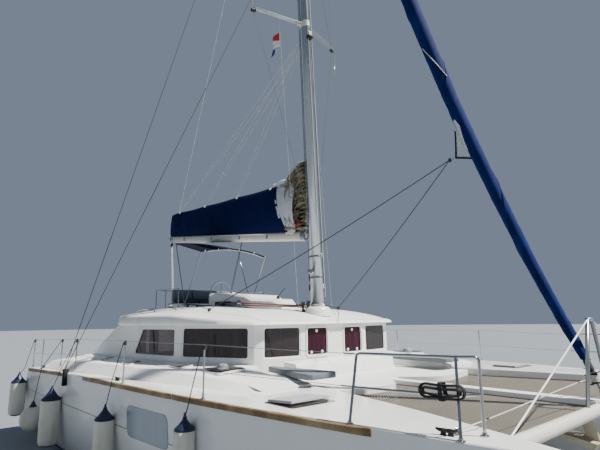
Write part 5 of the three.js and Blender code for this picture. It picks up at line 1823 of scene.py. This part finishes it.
def between(table, value):
    """Reads a table of rows by its first column."""
    for a, b in zip(table, table[1:]):
        if value <= b[0]:
            t = min(max((value - a[0]) / (b[0] - a[0]), 0), 1)
            return [p + t * (q - p) for p, q in zip(a, b)]
    return list(table[-1])


def bag_point(u, share, side):
    """A point of the bag's side: how far forward, how far up, and on which side."""
    front = BAG_FORE - BAG_LEAN * share
    x = BAG_AFT + u * (front - BAG_AFT)
    _, high, half = between(BAG, x)
    wide = between(BAG_SIDE, share)[1] * half
    near = min(abs(x - c) for c in CLIPS)
    dip = 0.02 * sin(min(near / 0.8, 1) * pi / 2) * share ** 3
    ripple = 0.008 * sin(9 * x + 6 * share) * sin(pi * share)
    ripple += 0.005 * sin(23 * x - 9 * share + side) * sin(pi * share)
    return Vector((x, side * max(wide + ripple, 0.003), boom_z(x) + BAG_FOOT + (high - BAG_FOOT) * share - dip))


def sail_bag():
    """Two cloth sides over the stowed sail, meeting at a zip along the top."""
    heights = [0, 0.03, 0.06, 0.11, 0.16, 0.24, 0.34, 0.44, 0.55, 0.65, 0.75, 0.83, 0.9, 0.95, 0.98, 1.0]
    rows = []
    for u in shares(84):
        row = [bag_point(u, s, 1) for s in heights] + [bag_point(u, s, -1) for s in reversed(heights[:-1])]
        if u == 0:
            rows.append([Vector((p.x, p.y * 0.05, p.z)) for p in row])
        rows.append(row)
    cloth("mainsail_bag", rows, "navy_canvas", "boom", ("sail_bag",), 0.004)
    seams, zip_line, clips = Shape(), Shape(), Shape()
    for u in (0.12, 0.29, 0.46, 0.63, 0.8):
        for side in (1, -1):
            seams.tube([bag_point(u, s, side) + Vector((0, side * 0.002, 0)) for s in heights[:-2]], 0.0025, 5)
    for side in (1, -1):
        seams.tube([bag_point(u, 0.02, side) for u in shares(40)], 0.008, 6)
        seams.tube([bag_point(u, 0.9, side) + Vector((0, side * 0.002, 0)) for u in shares(40)], 0.003, 5)
        seams.tube([bag_point(1, s, side) for s in heights], 0.006, 6)
    zip_line.tube([bag_point(u, 1, 1) + Vector((0, -0.003, 0.006)) for u in shares(60)], 0.006, 6)
    guys = []
    for c in CLIPS:
        u = (c - BAG_AFT) / (BAG_FORE - BAG_LEAN - BAG_AFT)
        for side in (1, -1):
            p = bag_point(u, 0.97, side)
            clips.box(p + Vector((-0.03, -0.012, -0.02)), p + Vector((0.03, 0.012, 0.035)))
            if c < -1:
                guys.append([p + Vector((0, 0, 0.03)), Vector((mast_x(9.4) - 0.15, side * 0.09, 9.4))])
    piece("bag_seams", seams, "navy_canvas", "boom")
    piece("bag_zip", zip_line, "black_rubber", "boom")
    piece("bag_clips", clips, "white_plastic", "boom", bevel=0.004)
    lines("lazy_jacks", guys, 0.0025, "white_rope", "boom", 5)


def flaked_sail():
    """The mainsail's luff, folded from side to side in a stack behind the mast, its slides and reef lines."""
    random.seed(11)
    layers, per = 34, 8
    swing = [random.uniform(0.6, 1.3) for _ in range(layers + 1)]
    phase = [random.uniform(0, tau) for _ in range(layers + 1)]
    rows = []
    for t in shares(16):
        x = -0.26 + 0.62 * t
        low = boom_z(x) + 0.13
        high = 6.36 - 0.52 * max(0.92 - t, 0)
        row = []
        for k in range(layers * per + 1):
            layer, part = divmod(k / per, 1)
            n = int(layer)
            a, b = swing[n], swing[min(n + 1, layers)]
            wide = (0.15 - 0.035 * k / (layers * per)) * (a + (b - a) * part) * (1 - 0.25 * t)
            wide += 0.012 * sin(11 * t + phase[n])
            lean = cos(pi * k / per)
            y = wide * copysign(abs(lean) ** 0.6, lean)
            z = low + (high - low) * k / (layers * per) + 0.026 * sin(9 * t + phase[n] * 2)
            row.append((x + 0.025 * sin(phase[n] + 5 * t), y, z))
        rows.append(row)
    cloth("mainsail_flakes", rows, "olive_sail", "boom", thick=0.005,
          angle=80)
    slides, reefs = Shape(), []
    for k in range(15):
        z = 4.85 + 0.1 * k
        x = mast_x(z) - mast_half(z)[0]
        slides.box((x - 0.05, -0.014, z), (x - 0.013, 0.014, z + 0.045))
    piece("sail_slides", slides, "white_plastic", "boat", bevel=0.003)
    for k in range(16):
        z = 4.86 + 0.095 * k
        y = -0.165 - 0.012 * (k % 3) + 0.03 * k / 16
        x = random.uniform(-0.04, 0.12)
        fall = random.uniform(-0.14, 0.1)
        reefs.append(curve([(x - 0.04, y * 0.9, z + 0.05), (x + 0.03, y - 0.008, z + 0.3 * fall),
                            (x + 0.12, y - 0.004, z + fall), (x + 0.24, y * 0.55, z + 0.4 * fall)], 8))
    for k in range(9):
        z, x, path = 4.85 + 0.06 * (k % 3), -0.2 + 0.05 * k, []
        while z < 6.2:
            path.append((x, -0.19 + 0.05 * (z - 4.85) / 1.4, z))
            x = min(max(x + random.uniform(-0.16, 0.16), -0.22 + 0.3 * max(z - 5.5, 0)), 0.28)
            z += random.uniform(0.1, 0.2)
        reefs.append(curve(path, 5))
    lines("reef_lines", reefs, 0.005, "beige_rope", "boom")
    reds = [curve([(0.03, -0.15, 4.84 + 0.035 * k), (0.16, -0.19, 4.8 + 0.03 * k),
                   (0.3, -0.12, 4.83 + 0.04 * k)], 8) for k in range(3)]
    lines("red_reef_lines", reds, 0.006, "red_rope", "boom")


# The white front of the bag: height, its aft edge and its fore edge
FRONT = ((4.68, -0.27, 0.13), (4.9, -0.34, 0.12), (5.15, -0.44, 0.11), (5.4, -0.54, 0.1), (5.6, -0.62, 0.09),
         (5.78, -0.7, 0.05), (5.9, -0.76, 0.0))


def front_panel():
    """White cloth that hangs from the bag's front, and the curled edge of the sail on top of it."""
    low, high = FRONT[0][0], FRONT[-1][0]
    bag_high = 1.2
    for side, name in ((-1, "starboard"), (1, "port")):
        rows = []
        for i in range(25):
            z = low + (high - low) * i / 24
            share = (z - boom_z(-0.3) - BAG_FOOT) / bag_high
            _, aft, fore = between(FRONT, z)
            row = []
            for k in range(13):
                t = k / 12
                fold = t * (0.02 * sin(7 * t + 4 * z) + 0.012 * sin(15 * t - 6 * z))
                bulge = max(0.2 * between(BAG_SIDE, share)[1] - 0.012, 0.1 * t + 0.02) + 0.012 * t
                row.append((aft + (fore - aft) * t, side * (bulge + fold), z + 0.02 * sin(9 * t)))
            rows.append(row)
        cloth(f"bag_front_{name}", rows, "pale_sail", "boom",
              thick=0.003)
    rows = []
    for t in shares(20):
        x = -0.72 + 0.95 * t
        z = 5.93 + 0.05 * sin(3 * t) + 0.75 * max(t - 0.5, 0)
        size = 0.16 - 0.06 * t
        row = []
        for k in range(17):
            a = -0.6 + 3.9 * k / 16
            row.append((x + 0.02 * sin(5 * a), size * cos(a), z + 0.6 * size * sin(a)
                        + 0.012 * sin(17 * t + a)))
        rows.append(row)
    cloth("sail_curl", rows, "pale_sail", "boom", thick=0.003)


# Headsail sections: height, radius, how far the roll's middle lies aft of the straight stay
ROLL = ((2.18, 0.062, 0), (2.6, 0.078, 0.05), (3.5, 0.09, 0.125), (4.5, 0.105, 0.17), (6.5, 0.13, 0.21),
        (9.0, 0.155, 0.145), (11.5, 0.14, 0.11), (15.0, 0.09, 0.05), (17.8, 0.038, 0.015))
# How many times to the metre the sail's edge winds round the roll
TURNS_PER_M = 0.42


def roll_point(z, a, out=0.0):
    """A point of the rolled headsail at a height and an angle."""
    _, r, aft = between(ROLL, z)
    lap = ((a - tau * TURNS_PER_M * z) % tau) / tau
    r = r * (1 - 0.07 * lap) + out
    r += 0.002 * sin(5 * a + 13 * z) + 0.002 * sin(3 * a - 31 * z)
    return Vector((stay_x(z) - aft + r * cos(a), r * sin(a), z))


class YACHT_OT_headsail(bpy.types.Operator):
    """Build the furled headsail, wound on its stay, with its drum and sheets"""
    bl_idname = "yacht.headsail"
    bl_label = "Headsail"

    def execute(self, context):
        dress("furling_drum", "black_rubber", 0.003)
        rings = []
        steps, around = 170, 56
        low, high = ROLL[0][0], ROLL[-1][0]
        for i in range(steps + 1):
            z = low + (high - low) * i / steps
            start = tau * TURNS_PER_M * z
            rings.append([roll_point(z, start + tau * (k + 0.02) / around) for k in range(around)])
        shape = Shape().loft(rings)
        head = (stay_x(HOUNDS_Z) + 0.14, 0, HOUNDS_Z - 0.05)
        shape.rod((stay_x(17.7) - 0.015, 0, 17.7), head, 0.009, 8)
        piece("headsail_roll", shape, "headsail_cover", stands_for=("furled_headsail",),
              angle=50)
        headsail_edges()
        clew(context.scene.yacht_sizes.sheet)
        furler()
        return {"FINISHED"}


def headsail_edges():
    """The spiral edge of the outer turn, and white stitching along a length of it."""
    edge, stitch = Shape(), Shape()
    edge.tube([roll_point(z, tau * TURNS_PER_M * z + 0.03, 0.002)
               for z in (2.3 + 15.3 * k / 300 for k in range(301))], 0.004, 6)
    high, long = 7.62, 0.7
    stitch.tube([roll_point(z, -2.1 + 1.7 * (high - z) / long, 0.003)
                 for z in (high - long * k / 24 for k in range(25))], 0.0085, 6)
    piece("headsail_edge", edge, "headsail_cover")
    piece("headsail_stitching", stitch, "white_rope")


def clew(sheet_radius):
    """The pale clew that stands off the roll, its navy tapes, and the two sheets tied to it."""
    high, corner, foot = Vector((4.209, -0.09, 6.053)), Vector((4.186, -0.09, 5.385)), 5.31
    meets = -2.4  # the angle at which the patch reaches the roll
    rows = []
    for t in shares(24):
        z = high.z + (foot - high.z) * t
        left = high.lerp(corner, t) + Vector((0.012 * sin(pi * t), 0, 0))
        edge = -1.62 - 1.0 * abs(t - 0.2) ** 0.8
        row = []
        for k in range(9):
            flat = left.lerp(roll_point(z, meets, 0.004), k / 9)
            row.append(flat + Vector((0, -0.012 * sin(pi * k / 9), 0)))
        row += [roll_point(z, meets + (max(edge, -2.35) - meets) * k / 8, 0.006) for k in range(9)]
        rows.append(row)
    cloth("clew_patch", rows, "pale_sail", thick=0.002)
    tapes = Shape()
    tapes.tube([rows[i][0] + Vector((0, -0.003, 0)) for i in range(7, 25)], 0.015, 8)
    tapes.tube([rows[24][k] + Vector((0, -0.003, 0)) for k in range(10)], 0.015, 8)
    piece("clew_tapes", tapes, "navy_canvas")
    tack = Vector((4.11, -0.09, 5.376))
    ring = Shape()
    circle = [tack + 0.028 * Vector((cos(a), 0.3 * sin(a), sin(a))) for a in turns(20)]
    ring.tube(circle, 0.006, 8, closed=True)
    piece("clew_ring", ring, "stainless")
    knot = Shape()
    for k in range(2):
        loop = []
        for j in range(25):
            a = tau * j / 24 * 1.9
            along = -0.03 - 0.02 * k + 0.012 * j / 24
            loop.append(tack + Vector((along, 0.024 * cos(a), 0.03 * sin(a))))
        knot.tube(loop, sheet_radius, 8)
    piece("sheet_knots", knot, "black_rope")
    start = tack + Vector((-0.04, -0.01, 0))
    paths = []
    for name, (x, y), (end_x, end_y) in (("starboard", (-0.3, -2.08), (-0.62, -2.16)),
                                         ("port", (0.12, 1.22), (-0.62, 1.3))):
        lead = Vector((x, y, top(x, y, "roof") + 0.05))
        end = Vector((end_x, end_y, top(end_x, end_y, "roof") + 0.1))
        paths.append(slack(start, lead, 0.05, 16) + [end + Vector((0.05, 0, 0))])
        block = Shape().lathe([(0.036, -0.02), (0.024, 0), (0.036, 0.02)], lead, (0, 1, 0.2), 18)
        block.box(lead + Vector((-0.02, -0.03, -0.055)), lead + Vector((0.02, 0.03, -0.045)))
        piece(f"sheet_block_{name}", block, "black_rubber")
    lines("headsail_sheets", paths, sheet_radius, "black_rope")


def furler():
    """The drum's flanges, the line wound on it, the swivel above it and the turnbuckle below it."""
    low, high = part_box("furling_drum")
    y = (low.y + high.y) / 2
    wound, plates = Shape(), Shape()
    cord_r, drum_r = 0.009, 0.066
    for k in range(5):
        z = 1.915 + 2 * cord_r * k
        ring = [(stay_x(z) + drum_r * cos(a), drum_r * sin(a), z) for a in turns(28)]
        wound.tube(ring, cord_r, 8, closed=True)
    for z in (1.882, 2.018):
        plates.lathe([(0.06, -0.003), (0.098, -0.003), (0.1, 0), (0.098, 0.003), (0.06, 0.003)],
                     (stay_x(z), y, z), (-STAY_RAKE, 0, 1), 32, open_ends=True)
    roll_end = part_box("furled_headsail")[0].z
    heights = (2.03, 2.07, roll_end - 0.12, roll_end + 0.02)
    swivel = Shape().tube([(stay_x(z), 0, z) for z in heights], [0.03, 0.048, 0.052, 0.036], 20)
    piece("furler_swivel", swivel, "black_rubber")
    plates.rod((stay_x(1.66), 0, 1.66), (stay_x(1.87), 0, 1.87), 0.016, 12)
    plates.rod((stay_x(1.70), 0, 1.70), (stay_x(1.80), 0, 1.80), 0.024, 12)
    piece("furling_turns", wound, "white_rope")
    piece("furler_plates", plates, "stainless")


class YACHT_OT_fenders(bpy.types.Operator):
    """Build the fenders with their caps, eyes and lines"""
    bl_idname = "yacht.fenders"
    bl_label = "Fenders"

    def execute(self, context):
        for i in range(5):
            fender(i + 1)
        return {"FINISHED"}


# Radius of the fenders' lines
FENDER_LINE = 0.0075


def fender(number):
    """A round or a long fender with its caps, and the line that ties it to the nearest stanchion."""
    node = f"fender_{number}"
    low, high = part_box(node)
    r = (high.x - low.x) / 2
    at = Vector((low.x + r, low.y + r, 0))
    is_ball = high.z - low.z < 3 * r
    body, caps, line = Shape(), Shape(), Shape()
    z0, z1 = low.z + 0.01, high.z - 0.02
    if is_ball:
        middle = (z0 + z1 - 0.06) / 2
        profile = [(NEAR, z0)]
        for k in range(1, 16):
            a = -pi / 2 + pi * k / 17
            profile.append((r * cos(a), middle + (middle - z0) * sin(a)))
        profile.append((0.1, z1 - 0.08))
        cap = [(0.085, z1 - 0.1), (0.075, z1 - 0.05), (0.045, z1 - 0.01), (0.035, z1 + 0.03)]
    else:
        cone = 1.15 * r
        profile = [(0.55 * r, z0 + 0.02), (0.86 * r, z0 + 0.04), (0.97 * r, z0 + 0.1), (r, z0 + 0.2),
                   (r, z1 - cone - 0.05), (0.97 * r, z1 - cone), (0.9 * r, z1 - cone + 0.01)]
        cap = [(0.93 * r, z1 - cone - 0.006), (0.98 * r, z1 - cone + 0.012), (0.93 * r, z1 - cone + 0.035),
               (0.6 * r, z1 - 0.55 * cone), (0.24 * r, z1 - 0.025), (0.16 * r, z1 + 0.02), (NEAR, z1 + 0.025)]
        caps.lathe([(0.5 * r, z0), (0.8 * r, z0 + 0.025), (0.55 * r, z0 + 0.035)], at, sides=28)
    body.lathe(profile, at, sides=32)
    caps.lathe(cap, at, sides=28)
    piece(f"{node}_body", body, "fender_vinyl", stands_for=(node,), angle=40)
    piece(f"{node}_caps", caps, "navy_vinyl", angle=40)
    x = at.x
    edge, deck = rail_line(x, "starboard", -1)
    post, inset = min(STANCHIONS, key=lambda place: abs(place[0] - x - 0.35))
    rail, foot = rail_line(post, "starboard", -1)
    head = Vector((post - 0.03, rail + inset - 0.02, foot + 0.66))
    path = [Vector((x, at.y, z1)), Vector((x, edge - 0.045, deck - 0.05)),
            Vector((x, edge - 0.035, deck + 0.01)), head]
    line.tube(path, FENDER_LINE, 8)
    line.tube([path[0] + Vector((0, 0, h)) for h in (0.0, 0.02, 0.05, 0.07)], [0.008, 0.018, 0.018, 0.008], 8)
    for k in range(4):
        z = head.z - 0.03 + 0.016 * k
        hitch = [(post + 0.021 * cos(a), rail + inset + 0.021 * sin(a), z) for a in turns(12)]
        line.tube(hitch, FENDER_LINE, 6, closed=True)
    piece(f"{node}_line", line, "black_rope")


OPERATORS = (YACHT_OT_stage, YACHT_OT_hulls, YACHT_OT_strakes, YACHT_OT_decks, YACHT_OT_hatches, YACHT_OT_cabin,
             YACHT_OT_roof, YACHT_OT_helm, YACHT_OT_bimini, YACHT_OT_bows, YACHT_OT_rails, YACHT_OT_fittings,
             YACHT_OT_mast, YACHT_OT_mainsail, YACHT_OT_headsail, YACHT_OT_fenders)


class YACHT_PT_panel(bpy.types.Panel):
    """Lists the boat's values and the buttons that build its pieces"""
    bl_idname = "YACHT_PT_panel"
    bl_label = "Sailing catamaran"
    bl_space_type = "VIEW_3D"
    bl_region_type = "UI"
    bl_category = "Catamaran"

    def draw(self, context):
        for group in (context.scene.yacht_colours, context.scene.yacht_sizes, context.scene.yacht_stage):
            box = self.layout.box()
            for name in group.__annotations__:
                box.prop(group, name)
        for operator in OPERATORS:
            self.layout.operator(operator.bl_idname)


GROUPS = {"yacht_colours": YachtColours, "yacht_sizes": YachtSizes, "yacht_stage": YachtStage}


def register():
    """Adds the values, the buttons and the panel."""
    for kind in (*GROUPS.values(), *OPERATORS, YACHT_PT_panel):
        bpy.utils.register_class(kind)
    for name, group in GROUPS.items():
        setattr(bpy.types.Scene, name, bpy.props.PointerProperty(type=group))


def unregister():
    """Takes them away again."""
    for name in GROUPS:
        delattr(bpy.types.Scene, name)
    for kind in reversed((*GROUPS.values(), *OPERATORS, YACHT_PT_panel)):
        bpy.utils.unregister_class(kind)


def main():
    """Builds everything in order."""
    register()
    for operator in OPERATORS:
        group, name = operator.bl_idname.split(".")
        getattr(getattr(bpy.ops, group), name)()


if __name__ == "__main__":
    main()
